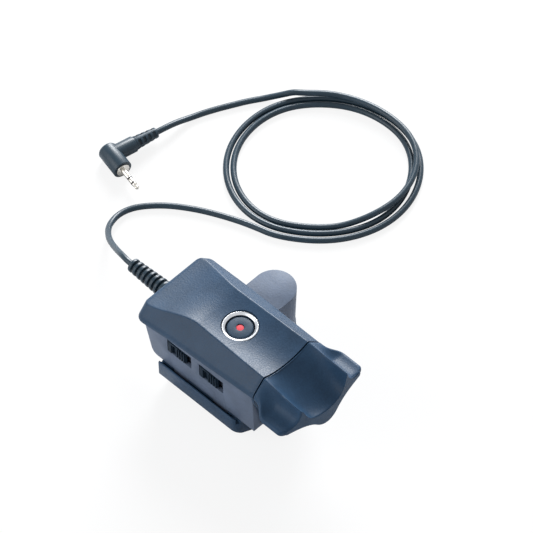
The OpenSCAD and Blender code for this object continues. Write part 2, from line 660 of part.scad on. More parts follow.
// ---- Lead ----
relief_x1 = relief_x0 - relief_len;
relief_tip_d = 7;
relief_pitch = 2.9;
relief_grooves = 8;
groove_w = 1.15;
cord_r = cord_d / 2;
function relief_r(d) = mix(relief_base_d, relief_tip_d, d / relief_len) / 2;
module strain_relief() {
    grooves = [for (i = [0 : relief_grooves - 1]) let (d = relief_len - 1.9 - i * relief_pitch)
        each [[d, relief_r(d)], [d, relief_r(d) - 1.5], [d - groove_w, relief_r(d) - 1.5], [d - groove_w, relief_r(d)]]];
    outline = concat([[relief_len, 0], [relief_len, relief_r(relief_len) - 0.4], [relief_len - 0.4, relief_r(relief_len)]],
                     grooves, [[relief_neck, relief_r(0)], [relief_neck, relief_notch_r], [-5.05, relief_notch_r],
                               [-5.05, relief_notch_r + 0.8], [-6.3, relief_notch_r + 0.8], [-6.3, 0]]);
    color(rubber_color) translate([relief_x0, 0, rocker_axis_z]) rotate([0, -90, 0])
        rotate_extrude() polygon([for (p = outline) [p[1], p[0]]]);
}

// The big loops: two and a half uneven turns. loop_shift lists how far the lead lies outside the middle
// line of the bundle at each angle; the last half turn climbs over the others and comes down outermost.
loop_centre = [-58.7, 118.8];
loop_start = -80;
loop_end = 866;
loop_mean_r = 42.1;
loop_rings = 24;
hump = 3.6;
loop_shift = [[-95, 6.4], [-80, 5.3], [-70, 4.5], [-60, 3.9], [-30, 4.2], [0, 4.5], [30, 3.4], [60, 2.1],
    [75, 0.9], [90, 0.1], [135, 0], [165, 1.6], [270, 1.8], [300, -0.2], [330, 0.1], [345, 0.6], [360, 0.5],
    [375, -0.3], [390, -1.1], [405, -1.6], [420, -1.6], [435, -2.6], [450, -3.5], [495, -3.6], [525, -1.9],
    [630, -1.8], [660, -4], [690, -3.7], [705, -2.6], [720, -1.1], [735, -0.3], [750, 0.5], [765, 1.2],
    [780, 1.2], [795, -0.4], [810, -1.2], [825, -1.2], [840, -0.6], [855, 0.6], [868, 1.7], [885, 3.6]];
function loop_off(a) = (lookup(a - 12, loop_shift) + 2 * lookup(a, loop_shift) + lookup(a + 12, loop_shift)) / 4;
function loop_r(a) = loop_mean_r - 1.05 * cos(a) + 1.7 * sin(2 * a) + loop_off(a);
function loop_z(a) = cord_r + hump * smooth((a - 680) / 45);
function loop_pt(a) = [loop_centre[0] + loop_r(a) * cos(a), loop_centre[1] + loop_r(a) * sin(a), loop_z(a)];
loop_count = round((loop_end - loop_start) / 360 * loop_rings);
loop_mid = [for (i = [0 : loop_count]) loop_pt(mix(loop_start, loop_end, i / loop_count))];
loop_dir0 = [cos(16), sin(16), 0];
loop_dir1 = unit(loop_mid[loop_count] - loop_mid[loop_count - 1]);
loop_in = loop_mid[0] - cord_d * loop_dir0;
loop_out = loop_mid[loop_count] + cord_d * loop_dir1;
loop_path = concat([loop_in], loop_mid, [loop_out]);

// The lead between the body and the loops, and between the loops and the plug
lead_exit = [relief_x1, 0, rocker_axis_z];
lead_path = concat([lead_exit, lead_exit - [cord_d, 0, 0]],
    [[-72, 0.8, 31.2], [-76.6, 2.6, 28.4], [-82.5, 5.5, 23.6], [-88.5, 8.7, 18.8], [-94.5, 12.4, 14],
     [-100, 16.8, 9.6], [-104.4, 21.6, 6], [-107.2, 26.8, 3.4], [-108.3, 32, 2], [-107.4, 37.2, cord_r],
     [-104.8, 42, cord_r], [-101, 46.6, cord_r], [-96.2, 51.2, cord_r], [-90.6, 55.4, cord_r],
     [-84.4, 59.3, cord_r], [-77.8, 62.8, cord_r], [-71, 65.9, cord_r], [-64.3, 68.6, cord_r]],
    [loop_in - 2 * loop_dir0, loop_in]);

plug_at = [-134.6, 52.6, 4.85];
plug_turn = -12.8;
arm_len = 12.9;
boot_len = 12.2;
plug_cord_dir = [cos(plug_turn + 90), sin(plug_turn + 90), 0];
boot_end = plug_at + (arm_len + boot_len) * plug_cord_dir;
tail_path = concat([loop_out, loop_out + 2 * loop_dir1],
    [[-102.1, 135.9, 3.7], [-105.5, 132.1, 2.5], [-108.4, 128.6, 1.7], [-111.2, 124.6, cord_r],
     [-113.7, 120.6, cord_r],
     [-116.1, 116.2, cord_r], [-118.8, 111.2, cord_r], [-121.3, 106.2, cord_r], [-123.6, 101.1, cord_r],
     [-125.4, 95.8, 1.9], [-126.6, 90.6, 3.1], [-127.3, 85.8, 4.3]],
    [boot_end + 1.05 * cord_d * plug_cord_dir, boot_end]);
CORD_SIDES = 8;
LOOP_SIDES = 6;

module cord_lead() { color(rubber_color) tube(lead_path, cord_r, CORD_SIDES); }
module cord_loops() { color(rubber_color) tube(loop_path, cord_r, LOOP_SIDES); }
module cord_tail() { color(rubber_color) tube(tail_path, cord_r, CORD_SIDES); }

// Least gap of the loops to themselves, measured between points more than an eighth of a turn apart
loop_gap = min([for (i = [0 : loop_count - 4], j = [i + 4 : loop_count]) norm(loop_mid[i] - loop_mid[j])]) - cord_d;
fine = [for (a = [loop_start : 2.5 : loop_end]) loop_pt(a)];
fine_gap = min([for (i = [0 : len(fine) - 41], j = [i + 40 : len(fine) - 1]) norm(fine[i] - fine[j])]) - cord_d;
echo(loop_gap = loop_gap, fine_gap = fine_gap,
     cord_length = path_len(lead_path) + path_len(loop_path) + path_len(tail_path),
     lead = path_len(lead_path), loops = path_len(loop_path), tail = path_len(tail_path));

// ---- Plug: the pin runs along local X, the cord arm along local Y ----
module at_plug() {
    translate(plug_at) rotate([0, 0, plug_turn]) children();
}
plug_head_r = 4.8;
plug_arm_r = 4;
plug_nose = 10.2;
flange_len = 0.7;
pin_r0 = 1.25;
pin_root_r = 1.9;
module plug_boot() {
    color(rubber_color) at_plug() translate([0, arm_len, 0]) rotate([-90, 0, 0]) difference() {
        rotate_extrude() polygon([[0, 0], [3.4, 0], [2.65, boot_len - 0.3], [2.35, boot_len], [0, boot_len]]);
        for (i = [0 : 3], a = [0, 90]) rotate([0, 0, 45 + a]) translate([0, 0, 1.3 + i * 2.7])
            for (s = [-1, 1]) translate([s * 3.2 - 1.2, -1.4, 0]) cube([2.4, 2.8, 1.5]);
    }
}
module plug_body() {
    color(rubber_color) at_plug() difference() {
        union() {
            rotate([0, 90, 0]) rotate_extrude()
                polygon([[0, -4.9], [plug_head_r - 1.6, -4.7], [plug_head_r - 0.5, -4.2], [plug_head_r, -3.4],
                         [plug_head_r, plug_nose], [0, plug_nose]]);
            rotate([-90, 0, 0]) rotate_extrude()
                polygon([[0, 0], [plug_arm_r, 0], [plug_arm_r, arm_len - 0.6], [plug_arm_r - 0.4, arm_len - 0.6],
                         [plug_arm_r - 0.4, arm_len], [0, arm_len]]);
        }
        x_cylinder(plug_nose - 3, plug_nose + 1, pin_root_r);
    }
}
// Contact stack along the pin: sleeve, band, ring, band, tip
sleeve_end = plug_nose + pin_len * 0.44;
ring_start = sleeve_end + 0.8;
ring_end = plug_nose + pin_len * 0.68;
tip_start = ring_end + 0.8;
pin_end = plug_nose + pin_len;
module plug_sleeve() {
    color(steel_color) at_plug() {
        rotate([0, 90, 0]) rotate_extrude()
            polygon([[0, plug_nose - 3], [pin_root_r, plug_nose - 3], [pin_root_r, plug_nose], [3.4, plug_nose],
                     [3.4, plug_nose + flange_len], [pin_r0, plug_nose + flange_len], [pin_r0, sleeve_end], [0, sleeve_end]]);
    }
}
module plug_ring() {
    color(steel_color) at_plug() x_cylinder(ring_start, ring_end, pin_r0);
}
module plug_insulators() {
    color(black_color) at_plug() {
        x_cylinder(sleeve_end, ring_start, pin_r0);
        x_cylinder(ring_end, tip_start, pin_r0);
    }
}
module plug_tip() {
    d = pin_end - tip_start;
    color(steel_color) at_plug() translate([tip_start, 0, 0]) rotate([0, 90, 0]) rotate_extrude()
        polygon([[0, 0], [pin_r0, 0], [pin_r0, d * 0.2], [0.75, d * 0.42], [0.75, d * 0.5], [1.1, d * 0.66],
                 [1.1, d * 0.78], [0.6, d * 0.95], [0.25, d], [0, d]]);
}

top_cover();
lower_housing();
button_ring();
record_button();
button_dot();
switch_plunger();
tact_switch();
circuit_board();
processor_chip();
cord_header();
inner_wires();
switch_board();
switch_body_rear();
switch_body_front();
switch_slider_rear();
switch_slider_front();
angle_sensor();
shaft_bush();
centring_spring();
rocker_shaft();
return_arm();
zoom_rocker();
case_screws();
hinge_pin();
clamp_jaw();
saddle_pad();
jaw_pad();
nut_insert();
clamp_screw();
clamp_knob();
thrust_washer();
strain_relief();
cord_lead();
cord_loops();
cord_tail();
plug_boot();
plug_body();
plug_sleeve();
plug_ring();
plug_tip();
plug_insulators();
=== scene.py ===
"""Dresses the zoom remote control. Lengths are in millimetres until a mesh is made."""

import math

import bmesh
import bpy
import numpy as np
from mathutils import Matrix


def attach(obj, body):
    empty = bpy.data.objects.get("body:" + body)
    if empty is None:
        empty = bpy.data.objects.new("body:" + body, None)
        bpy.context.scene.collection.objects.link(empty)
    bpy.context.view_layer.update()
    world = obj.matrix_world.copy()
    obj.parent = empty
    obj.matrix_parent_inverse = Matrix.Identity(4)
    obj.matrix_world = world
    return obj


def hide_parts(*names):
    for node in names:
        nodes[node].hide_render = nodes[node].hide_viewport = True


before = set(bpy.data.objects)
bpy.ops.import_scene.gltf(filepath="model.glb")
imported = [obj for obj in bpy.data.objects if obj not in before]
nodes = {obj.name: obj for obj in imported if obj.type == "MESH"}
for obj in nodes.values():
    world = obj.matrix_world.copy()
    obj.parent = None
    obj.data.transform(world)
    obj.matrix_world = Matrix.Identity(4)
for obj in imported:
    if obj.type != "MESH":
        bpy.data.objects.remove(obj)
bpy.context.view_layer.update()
MM = 0.001
CREASE = 32.0  # degrees; sharper edges stay sharp
MERGE = 0.001  # millimetres; closer points of a new piece become one
CAD_MERGE = 0.002
SLIVER = 0.00001
FLAT_ANGLE, EDGE_ANGLE = 0.6, 28.0  # degrees; flatter joints are dissolved, sharper edges are rounded


# ---- Camera: a very long lens, so that lines stay parallel ----
def camera_axes():
    """Right, up and back of the camera, made square to each other from two measured directions."""
    right = np.array([0.7053, 0.7082, -0.0319])
    up = np.array([-0.5488, 0.5739, 0.6080])
    right = right / np.linalg.norm(right)
    up = up - right * (up @ right)
    up = up / np.linalg.norm(up)
    return right, up, np.cross(right, up)


RIGHT, UP, BACK = camera_axes()
AIM = np.array([7.16, 18.45, 78.44])
FIELD = 246.76  # width that the view takes in at AIM
DISTANCE = 6000.0
SENSOR = 36.0


def stand(thing, axes, place):
    """Turns an object to three axes, given as columns, and moves it to a place in metres."""
    matrix = Matrix.Identity(4)
    for i in range(3):
        for j in range(3):
            matrix[i][j] = axes[i, j]
        matrix[i][3] = place[i]
    thing.matrix_world = matrix


def make_camera():
    """Stands DISTANCE behind AIM; the lens is the sensor's width times distance over field."""
    data = bpy.data.cameras.new("camera")
    data.sensor_width = SENSOR
    data.lens = SENSOR * DISTANCE / FIELD
    data.clip_start, data.clip_end = 0.5, 40.0
    camera = bpy.data.objects.new("camera", data)
    bpy.context.scene.collection.objects.link(camera)
    stand(camera, np.stack([RIGHT, UP, BACK], 1), (AIM + BACK * DISTANCE) * MM)
    bpy.context.scene.camera = camera


make_camera()


# ---- Meshes ----
def smooth(t):
    """Three t squared less two t cubed, with t held between 0 and 1."""
    t = np.clip(t, 0.0, 1.0)
    return t * t * (3 - 2 * t)


def mix(a, b, t):
    """a at t = 0, b at t = 1, a straight line between."""
    return a + (b - a) * t


def quads(rows, cols, wrap=False, first=0):
    """Faces of a grid whose points are numbered row by row from first; wrap closes each row."""
    i, j = np.meshgrid(np.arange(rows - 1), np.arange(cols if wrap else cols - 1), indexing="ij")
    k = (j + 1) % cols
    corners = np.stack([i * cols + j, (i + 1) * cols + j, (i + 1) * cols + k, i * cols + k], -1)
    return first + corners.reshape(-1, 4)


def strip(a, b):
    """Faces between two equally long lists of point numbers."""
    a, b = np.asarray(a), np.asarray(b)
    return np.stack([a[:-1], b[:-1], b[1:], a[1:]], -1)


def mesh_object(name, points, faces, crease=CREASE):
    """A closed mesh from points in millimetres: doubles merged, faces outward, smooth up to the crease."""
    mesh = bpy.data.meshes.new(name)
    mesh.from_pydata((np.asarray(points, float) * MM).tolist(), [], [[int(v) for v in f] for f in faces])
    work = bmesh.new()
    work.from_mesh(mesh)
    bmesh.ops.remove_doubles(work, verts=work.verts, dist=MERGE * MM)
    bmesh.ops.dissolve_degenerate(work, edges=work.edges, dist=SLIVER * MM)
    bmesh.ops.recalc_face_normals(work, faces=work.faces)
    work.to_mesh(mesh)
    work.free()
    finish_shading(mesh, crease)
    piece = bpy.data.objects.new(name, mesh)
    bpy.context.scene.collection.objects.link(piece)
    return piece


def finish_shading(mesh, crease):
    """Smooth faces, with edges sharper than the crease angle kept sharp."""
    mesh.polygons.foreach_set("use_smooth", np.ones(len(mesh.polygons), bool))
    mesh.set_sharp_from_angle(angle=math.radians(crease))
    mesh.update()


def baked(piece):
    """Applies the modifiers of a piece by taking its evaluated mesh."""
    bpy.context.view_layer.update()
    graph = bpy.context.evaluated_depsgraph_get()
    mesh = bpy.data.meshes.new_from_object(piece.evaluated_get(graph))
    piece.modifiers.clear()
    old = piece.data
    piece.data = mesh
    bpy.data.meshes.remove(old)
    mesh.name = piece.name
    finish_shading(mesh, CREASE)
    return piece


def softened(node, name, width):
    """A copy of a CAD node with its doubles merged, its flats joined and its edges rounded by width."""
    mesh = nodes[node].data.copy()
    mesh.name = name
    mesh.materials.clear()
    work = bmesh.new()
    work.from_mesh(mesh)
    bmesh.ops.remove_doubles(work, verts=work.verts, dist=CAD_MERGE * MM)
    bmesh.ops.dissolve_limit(work, angle_limit=math.radians(FLAT_ANGLE), verts=work.verts, edges=work.edges,
                             delimit={"NORMAL"})
    bmesh.ops.recalc_face_normals(work, faces=work.faces)
    work.to_mesh(mesh)
    work.free()
    piece = bpy.data.objects.new(name, mesh)
    bpy.context.scene.collection.objects.link(piece)
    bevel = piece.modifiers.new("edges", "BEVEL")
    bevel.width = width * MM
    bevel.segments = 2
    bevel.limit_method = "ANGLE"
    bevel.angle_limit = math.radians(EDGE_ANGLE)
    bevel.use_clamp_overlap = True
    bevel.miter_outer = "MITER_ARC"
    return baked(piece)


def revolved(profile, turns):
    """A profile of (radius, height) pairs carried round the Z axis; its ends lie on the axis or meet.

    Point k of n lies at r cos(2 pi k / n), r sin(2 pi k / n), h.
    """
    profile = np.asarray(profile, float)
    a = np.linspace(0, 2 * math.pi, turns, endpoint=False)
    r, h = profile[:, :1], profile[:, 1:]
    points = np.stack([r * np.cos(a), r * np.sin(a), h + 0 * a], -1)
    return points.reshape(-1, 3), quads(len(profile), turns, wrap=True)


def placed(points, at, x_dir, z_dir):
    """Turns points so that local Z runs along z_dir and local X near x_dir, and moves them to at."""
    z = np.asarray(z_dir, float)
    z = z / np.linalg.norm(z)
    x = np.asarray(x_dir, float)
    x = x - z * (x @ z)
    x = x / np.linalg.norm(x)
    return points @ np.stack([x, np.cross(z, x), z]) + np.asarray(at, float)


def corner(p, q, r, radius, steps=4):
    """Points of a rounded corner at q between p and r: a curve whose ends lie radius away from q.

    The curve is (1 - t)^2 a + 2 t (1 - t) q + t^2 b, with a and b its ends.
    """
    p, q, r = (np.asarray(v, float) for v in (p, q, r))
    away = [(v - q, np.linalg.norm(v - q)) for v in (p, r)]
    a, b = (q + side / length * min(radius, length * 0.49) for side, length in away)
    t = np.linspace(0, 1, steps + 1)[:, None]
    return (1 - t) ** 2 * a + 2 * t * (1 - t) * q + t * t * b


def rounded(points, radius, steps=4):
    """An open outline with each inner corner rounded; radius is one number or one for each inner corner."""
    points = [np.asarray(p, float) for p in points]
    radii = [radius] * (len(points) - 2) if np.isscalar(radius) else radius
    parts = [points[:1]]
    for i in range(1, len(points) - 1):
        parts.append(corner(points[i - 1], points[i], points[i + 1], radii[i - 1], steps)
                     if radii[i - 1] > 0 else [points[i]])
    parts.append(points[-1:])
    return np.vstack(parts)


# ---- Materials ----
NOISE_LOW, NOISE_HIGH = 0.3, 0.7  # most of a noise texture's values lie between these
BLOTCH, SCRATCH, TARNISH = 90.0, 1800.0, 160.0  # noise scales, per metre


def shader(name):
    """A new material, its node tree and its principled shader."""
    material = bpy.data.materials.new(name)
    material.use_nodes = True
    return material, material.node_tree, material.node_tree.nodes["Principled BSDF"]


def noise(tree, coords, scale, detail=3.0, rough=0.55):
    """A noise texture on the piece's own coordinates; scale is per metre."""
    texture = tree.nodes.new("ShaderNodeTexNoise")
    texture.inputs["Scale"].default_value = scale
    texture.inputs["Detail"].default_value = detail
    texture.inputs["Roughness"].default_value = rough
    tree.links.new(coords.outputs["Object"], texture.inputs["Vector"])
    return texture


def spread(tree, source, low, high):
    """Carries a noise value to the range from low to high."""
    node = tree.nodes.new("ShaderNodeMapRange")
    node.inputs["From Min"].default_value = NOISE_LOW
    node.inputs["From Max"].default_value = NOISE_HIGH
    node.inputs["To Min"].default_value = low
    node.inputs["To Max"].default_value = high
    tree.links.new(source, node.inputs["Value"])
    return node.outputs["Result"]


def ramp(tree, source, dark, light):
    """Colours a noise value from dark to light."""
    node = tree.nodes.new("ShaderNodeValToRGB")
    for element, place, colour in zip(node.color_ramp.elements, (NOISE_LOW, NOISE_HIGH), (dark, light)):
        element.position = place
        element.color = (*colour, 1.0)
    tree.links.new(source, node.inputs["Fac"])
    return node.outputs["Color"]


def shade(colour, factor):
    """A colour made darker or lighter by a factor."""
    return tuple(min(1.0, c * factor) for c in colour)


def raise_grain(tree, surface, source, strength, depth):
    """Bumps a surface by a noise value; depth is in millimetres."""
    bump = tree.nodes.new("ShaderNodeBump")
    bump.inputs["Strength"].default_value = strength
    bump.inputs["Distance"].default_value = depth * MM
    tree.links.new(source, bump.inputs["Height"])
    tree.links.new(bump.outputs["Normal"], surface.inputs["Normal"])


def moulded(name, colour, rough=0.42, grain=1150.0, depth=0.13, contrast=0.20, level=0.19, coat=0.0):
    """Moulded plastic: a spark-eroded grain, slow changes of shade and a gloss that varies with the grain.

    grain is the noise's scale, depth its height in millimetres and contrast its share in the shade; level and
    coat are the strengths of the sheen and of a clear layer over it.
    """
    material, tree, surface = shader(name)
    coords = tree.nodes.new("ShaderNodeTexCoord")
    slow = noise(tree, coords, BLOTCH, 2.0)
    fine = noise(tree, coords, grain, 2.0, 0.6)
    both = tree.nodes.new("ShaderNodeMix")
    both.data_type = "FLOAT"
    both.inputs["Factor"].default_value = 0.45
    tree.links.new(slow.outputs["Fac"], both.inputs[2])
    tree.links.new(fine.outputs["Fac"], both.inputs[3])
    tint = ramp(tree, both.outputs[0], shade(colour, 1 - contrast), shade(colour, 1 + contrast))
    tree.links.new(tint, surface.inputs["Base Color"])
    tree.links.new(spread(tree, fine.outputs["Fac"], rough - 0.05, rough + 0.07), surface.inputs["Roughness"])
    raise_grain(tree, surface, fine.outputs["Fac"], 0.6, depth)
    surface.inputs["Specular IOR Level"].default_value = level
    surface.inputs["Coat Weight"].default_value = coat
    surface.inputs["Coat Roughness"].default_value = 0.2
    return material


def metal(name, colour, rough, across=1.0):
    """Plated or turned metal with fine drawn lines: noise in gloss and relief, scaled by across along Y."""
    material, tree, surface = shader(name)
    coords = tree.nodes.new("ShaderNodeTexCoord")
    stretch = tree.nodes.new("ShaderNodeMapping")
    stretch.inputs["Scale"].default_value = (1.0, across, 1.0)
    tree.links.new(coords.outputs["Object"], stretch.inputs["Vector"])
    lines = noise(tree, coords, SCRATCH, 2.0)
    tree.links.new(stretch.outputs["Vector"], lines.inputs["Vector"])
    slow = noise(tree, coords, TARNISH, 2.0)
    tint = ramp(tree, slow.outputs["Fac"], shade(colour, 0.94), shade(colour, 1.03))
    tree.links.new(tint, surface.inputs["Base Color"])
    tree.links.new(spread(tree, lines.outputs["Fac"], rough * 0.75, rough * 1.3), surface.inputs["Roughness"])
    raise_grain(tree, surface, lines.outputs["Fac"], 0.12, 0.01)
    surface.inputs["Metallic"].default_value = 1.0
    return material


def printed_board(name):
    """Green solder mask with a faint lattice of tracks under it."""
    material, tree, surface = shader(name)
    coords = tree.nodes.new("ShaderNodeTexCoord")
    bricks = tree.nodes.new("ShaderNodeTexBrick")
    bricks.inputs["Scale"].default_value = 260.0
    bricks.inputs["Mortar Size"].default_value = 0.03
    bricks.inputs["Color1"].default_value = (0.012, 0.11, 0.05, 1)
    bricks.inputs["Color2"].default_value = (0.018, 0.14, 0.065, 1)
    bricks.inputs["Mortar"].default_value = (0.04, 0.22, 0.10, 1)
    tree.links.new(coords.outputs["Object"], bricks.inputs["Vector"])
    tree.links.new(bricks.outputs["Color"], surface.inputs["Base Color"])
    speck = noise(tree, coords, 900.0)
    tree.links.new(spread(tree, speck.outputs["Fac"], 0.25, 0.45), surface.inputs["Roughness"])
    return material


SHELL = (0.022, 0.050, 0.094)
PANEL = (0.104, 0.134, 0.192)
finish = {
    "shell": moulded("shell_grain", SHELL, rough=0.40),
    # the rocker's colour is the shell's made 12 per cent lighter: painted light that brightens its shaded
    # hollow and flank
    "rocker": moulded("rocker_grain_painted_light", shade(SHELL, 1.12), rough=0.38, level=0.11),
    "panel": moulded("panel_grain", PANEL, rough=0.50, contrast=0.18),
    "switch": moulded("switch_satin", (0.010, 0.021, 0.036), rough=0.46, depth=0.015, level=0.06),
    "cap": moulded("button_cap_grain", (0.026, 0.050, 0.082), rough=0.42, depth=0.03),
    "dot": moulded("red_dot", (0.70, 0.075, 0.095), rough=0.34, grain=2600.0, depth=0.008, contrast=0.04),
    "black": moulded("black_satin", (0.012, 0.016, 0.024), rough=0.42, depth=0.015),
    "ivory": moulded("ivory_nylon", (0.66, 0.60, 0.44), rough=0.45, depth=0.015, contrast=0.05),
    "sheath": moulded("lead_sheath", (0.013, 0.031, 0.048), rough=0.36, grain=1700.0, depth=0.006, level=0.30,
                      coat=0.03),
    "boot": moulded("boot_rubber", (0.015, 0.033, 0.050), rough=0.38, grain=2200.0, depth=0.02, level=0.28,
                    coat=0.03),
    "pad": moulded("pad_rubber", (0.020, 0.024, 0.030), rough=0.62, grain=1500.0, depth=0.05),
    "bright": metal("bright_plating", (0.58, 0.60, 0.63), rough=0.30),
    "contact": metal("contact_plating", (0.56, 0.54, 0.50), rough=0.22),
    "steel": metal("drawn_steel", (0.55, 0.56, 0.58), rough=0.28, across=0.2),
    "brass": metal("turned_brass", (0.74, 0.55, 0.26), rough=0.26, across=0.3),
    "board": printed_board("solder_mask"),
}


def dress(piece, key):
    """Gives a piece one finish in every material slot."""
    data = piece.data
    if not len(data.materials):
        data.materials.append(finish[key])
    for i in range(len(data.materials)):
        data.materials[i] = finish[key]
    return piece


def stands_for(piece, body, slot, key, *replaced):
    """Dresses a new piece, puts it on its body and hides the CAD nodes that it replaces."""
    dress(piece, key)
    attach(piece, body)
    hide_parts(*replaced)
    return piece


# ---- The lead ----
CORD_D = 3.0
LOW = CORD_D / 2  # height of the lead's middle where it lies on the table
LOOP_CENTRE = np.array([-58.7, 118.8])
LOOP_FROM, LOOP_TO, POINTS_A_TURN = -80, 866, 24
CLIMB, CLIMB_FROM, CLIMB_TURN = 3.6, 680, 45
# Pairs of turn in degrees and how far the loop lies out there
LOOP_SHIFT = np.array([
    [-95, 6.4], [-80, 5.3], [-70, 4.5], [-60, 3.9], [-30, 4.2], [0, 4.5], [30, 3.4], [60, 2.1], [75, 0.9],
    [90, 0.1], [135, 0], [165, 1.6], [270, 1.8], [300, -0.2], [330, 0.1], [345, 0.6], [360, 0.5], [375, -0.3],
    [390, -1.1], [405, -1.6], [420, -1.6], [435, -2.6], [450, -3.5], [495, -3.6], [525, -1.9], [630, -1.8],
    [660, -4], [690, -3.7], [705, -2.6], [720, -1.1], [735, -0.3], [750, 0.5], [765, 1.2], [780, 1.2],
    [795, -0.4], [810, -1.2], [825, -1.2], [840, -0.6], [855, 0.6], [868, 1.7], [885, 3.6]])


def loop_points():
    """The loops: r = 42.1 - 1.05 cos q + 1.7 sin 2q, each turn's own shift and a climb over the others."""
    count = round((LOOP_TO - LOOP_FROM) / 360 * POINTS_A_TURN)
    a = mix(LOOP_FROM, LOOP_TO, np.arange(count + 1) / count)
    pull = sum(w * np.interp(a + d, *LOOP_SHIFT.T) for d, w in ((-12, 1), (0, 2), (12, 1))) / 4
    q = np.radians(a)
    r = 42.1 - 1.05 * np.cos(q) + 1.7 * np.sin(2 * q) + pull
    z = LOW + CLIMB * smooth((a - CLIMB_FROM) / CLIMB_TURN)
    return np.stack([LOOP_CENTRE[0] + r * np.cos(q), LOOP_CENTRE[1] + r * np.sin(q), z], -1)


PLUG_AT = np.array([-134.6, 52.6, 4.85])
PLUG_TURN = math.radians(-12.8)
PIN_DIR = np.array([math.cos(PLUG_TURN), math.sin(PLUG_TURN), 0.0])
ARM_DIR = np.array([-math.sin(PLUG_TURN), math.cos(PLUG_TURN), 0.0])
ARM_LEN = 12.9
BOOT_LEN = 12.2
INTO_LOOPS = math.radians(16)


def lead_route():
    """All points of the lead's route, from the strain relief over the loops to the plug's boot."""
    loops = loop_points()
    into = np.array([math.cos(INTO_LOOPS), math.sin(INTO_LOOPS), 0])
    away = loops[-1] - loops[-2]
    away = away / np.linalg.norm(away)
    first = np.array([
        [-65.3, 0, 32], [-68.3, 0, 32], [-72, 0.8, 31.2], [-76.6, 2.6, 28.4], [-82.5, 5.5, 23.6],
        [-88.5, 8.7, 18.8], [-94.5, 12.4, 14], [-100, 16.8, 9.6], [-104.4, 21.6, 6], [-107.2, 26.8, 3.4],
        [-108.3, 32, 2], [-107.4, 37.2, LOW], [-104.8, 42, LOW], [-101, 46.6, LOW], [-96.2, 51.2, LOW],
        [-90.6, 55.4, LOW], [-84.4, 59.3, LOW], [-77.8, 62.8, LOW], [-71, 65.9, LOW], [-64.3, 68.6, LOW]])
    enter = loops[0] - CORD_D * into
    leave = loops[-1] + CORD_D * away
    last = np.array([
        [-102.1, 135.9, 3.7], [-105.5, 132.1, 2.5], [-108.4, 128.6, 1.7], [-111.2, 124.6, LOW],
        [-113.7, 120.6, LOW], [-116.1, 116.2, LOW], [-118.8, 111.2, LOW], [-121.3, 106.2, LOW],
        [-123.6, 101.1, LOW], [-125.4, 95.8, 1.9], [-126.6, 90.6, 3.1], [-127.3, 85.8, 4.3]])
    boot_end = PLUG_AT + (ARM_LEN + BOOT_LEN) * ARM_DIR
    return np.vstack([first, [enter - 2 * into, enter], loops, [leave, leave + 2 * away], last,
                      [boot_end + 1.05 * CORD_D * ARM_DIR, boot_end]])


def spline_through(points, step):
    """A natural cubic spline through the points by chord length, given again every step millimetres."""
    s = np.r_[0, np.cumsum(np.linalg.norm(np.diff(points, axis=0), axis=1))]
    h = np.diff(s)
    n = len(s)
    system = np.eye(n)
    right = np.zeros((n, 3))
    i = np.arange(1, n - 1)
    system[i, i - 1], system[i, i], system[i, i + 1] = h[:-1], 2 * (h[:-1] + h[1:]), h[1:]
    slope = np.diff(points, axis=0) / h[:, None]
    right[1:-1] = 6 * (slope[1:] - slope[:-1])
    bend = np.linalg.solve(system, right)
    t = np.linspace(0, s[-1], int(s[-1] / step) + 1)
    k = np.clip(np.searchsorted(s, t, side="right") - 1, 0, n - 2)
    a, b, g = (s[k + 1] - t)[:, None], (t - s[k])[:, None], h[k][:, None]
    return (bend[k] * a ** 3 + bend[k + 1] * b ** 3) / (6 * g) + (points[k] / g - bend[k] * g / 6) * a \
        + (points[k + 1] / g - bend[k + 1] * g / 6) * b


def make_lead():
    """The lead as one open curve with a round section, and its length in millimetres."""
    line = spline_through(lead_route(), 1.2)
    line[:, 2] = np.maximum(line[:, 2], LOW)
    data = bpy.data.curves.new("lead", "CURVE")
    data.dimensions = "3D"
    data.bevel_depth = CORD_D / 2 * MM
    data.bevel_resolution = 5
    data.use_fill_caps = True
    spline = data.splines.new("POLY")
    spline.points.add(len(line) - 1)
    spline.points.foreach_set("co", np.c_[line * MM, np.ones(len(line))].ravel())
    spline.use_smooth = True
    lead = bpy.data.objects.new("lead", data)
    bpy.context.scene.collection.objects.link(lead)
    length = float(np.linalg.norm(np.diff(line, axis=0), axis=1).sum())
    stands_for(lead, "root", "rubber", "sheath", "cord_lead", "cord_loops", "cord_tail")
    return lead, length


lead, lead_length = make_lead()


# ---- Cover ----
REAR_X, SEAM_X, BODY_LEN = -39.0, 37.0, 76.0
BUTTON_X = 7.0
AXIS_Z = 32.0  # height of the rocker's axis and of the lead's exit
BODY_TOP = 52.0
WAIST_RUN = 32.0  # length over which the flare narrows to the waist
HOLLOW = 3.0  # depth of the top face's hollow at the seam
REAR_TOP_W, WAIST_TOP_W, WIDENING = 38.0, 27.4, 1.1  # widths of the top; each side widens again to the seam
REAR_BROW_W, SEAM_BROW_W = 48.4, 44.0
REAR_DROP = 6.3  # how far the top edges fall towards the lead end
REAR_RIM_Z, SEAM_RIM_Z = 34.2, 40.4
FLANK_SLOPE = 0.86  # fall of the flank over its width
EDGE_IN, EDGE_OUT, EDGE_DOWN, EDGE_PEAK = 0.6, 0.5, 0.62, 0.02  # the top edge's curve: its ends and its peak
SKIN = 2.0
SHOULDER_R, SHOULDER_TURN = 5.0, 48
RIM_HALF = 20.9
WALL_STEPS = 8
RING_HOLE_R, RELIEF_HOLE_R = 9.05, 5.1


def along(x):
    """0 at the lead end of the body, 1 at the seam."""
    return np.clip((x - REAR_X) / BODY_LEN, 0, 1)


def flare(x):
    """Smooth change from the flared lead end to the waist."""
    return smooth((x - REAR_X) / WAIST_RUN)


def edge_half(x):
    """Half the width between the top edges."""
    widening = np.clip((x - REAR_X - WAIST_RUN) / (BODY_LEN - WAIST_RUN), 0, 1)
    return mix(REAR_TOP_W, WAIST_TOP_W, flare(x)) / 2 + WIDENING * widening


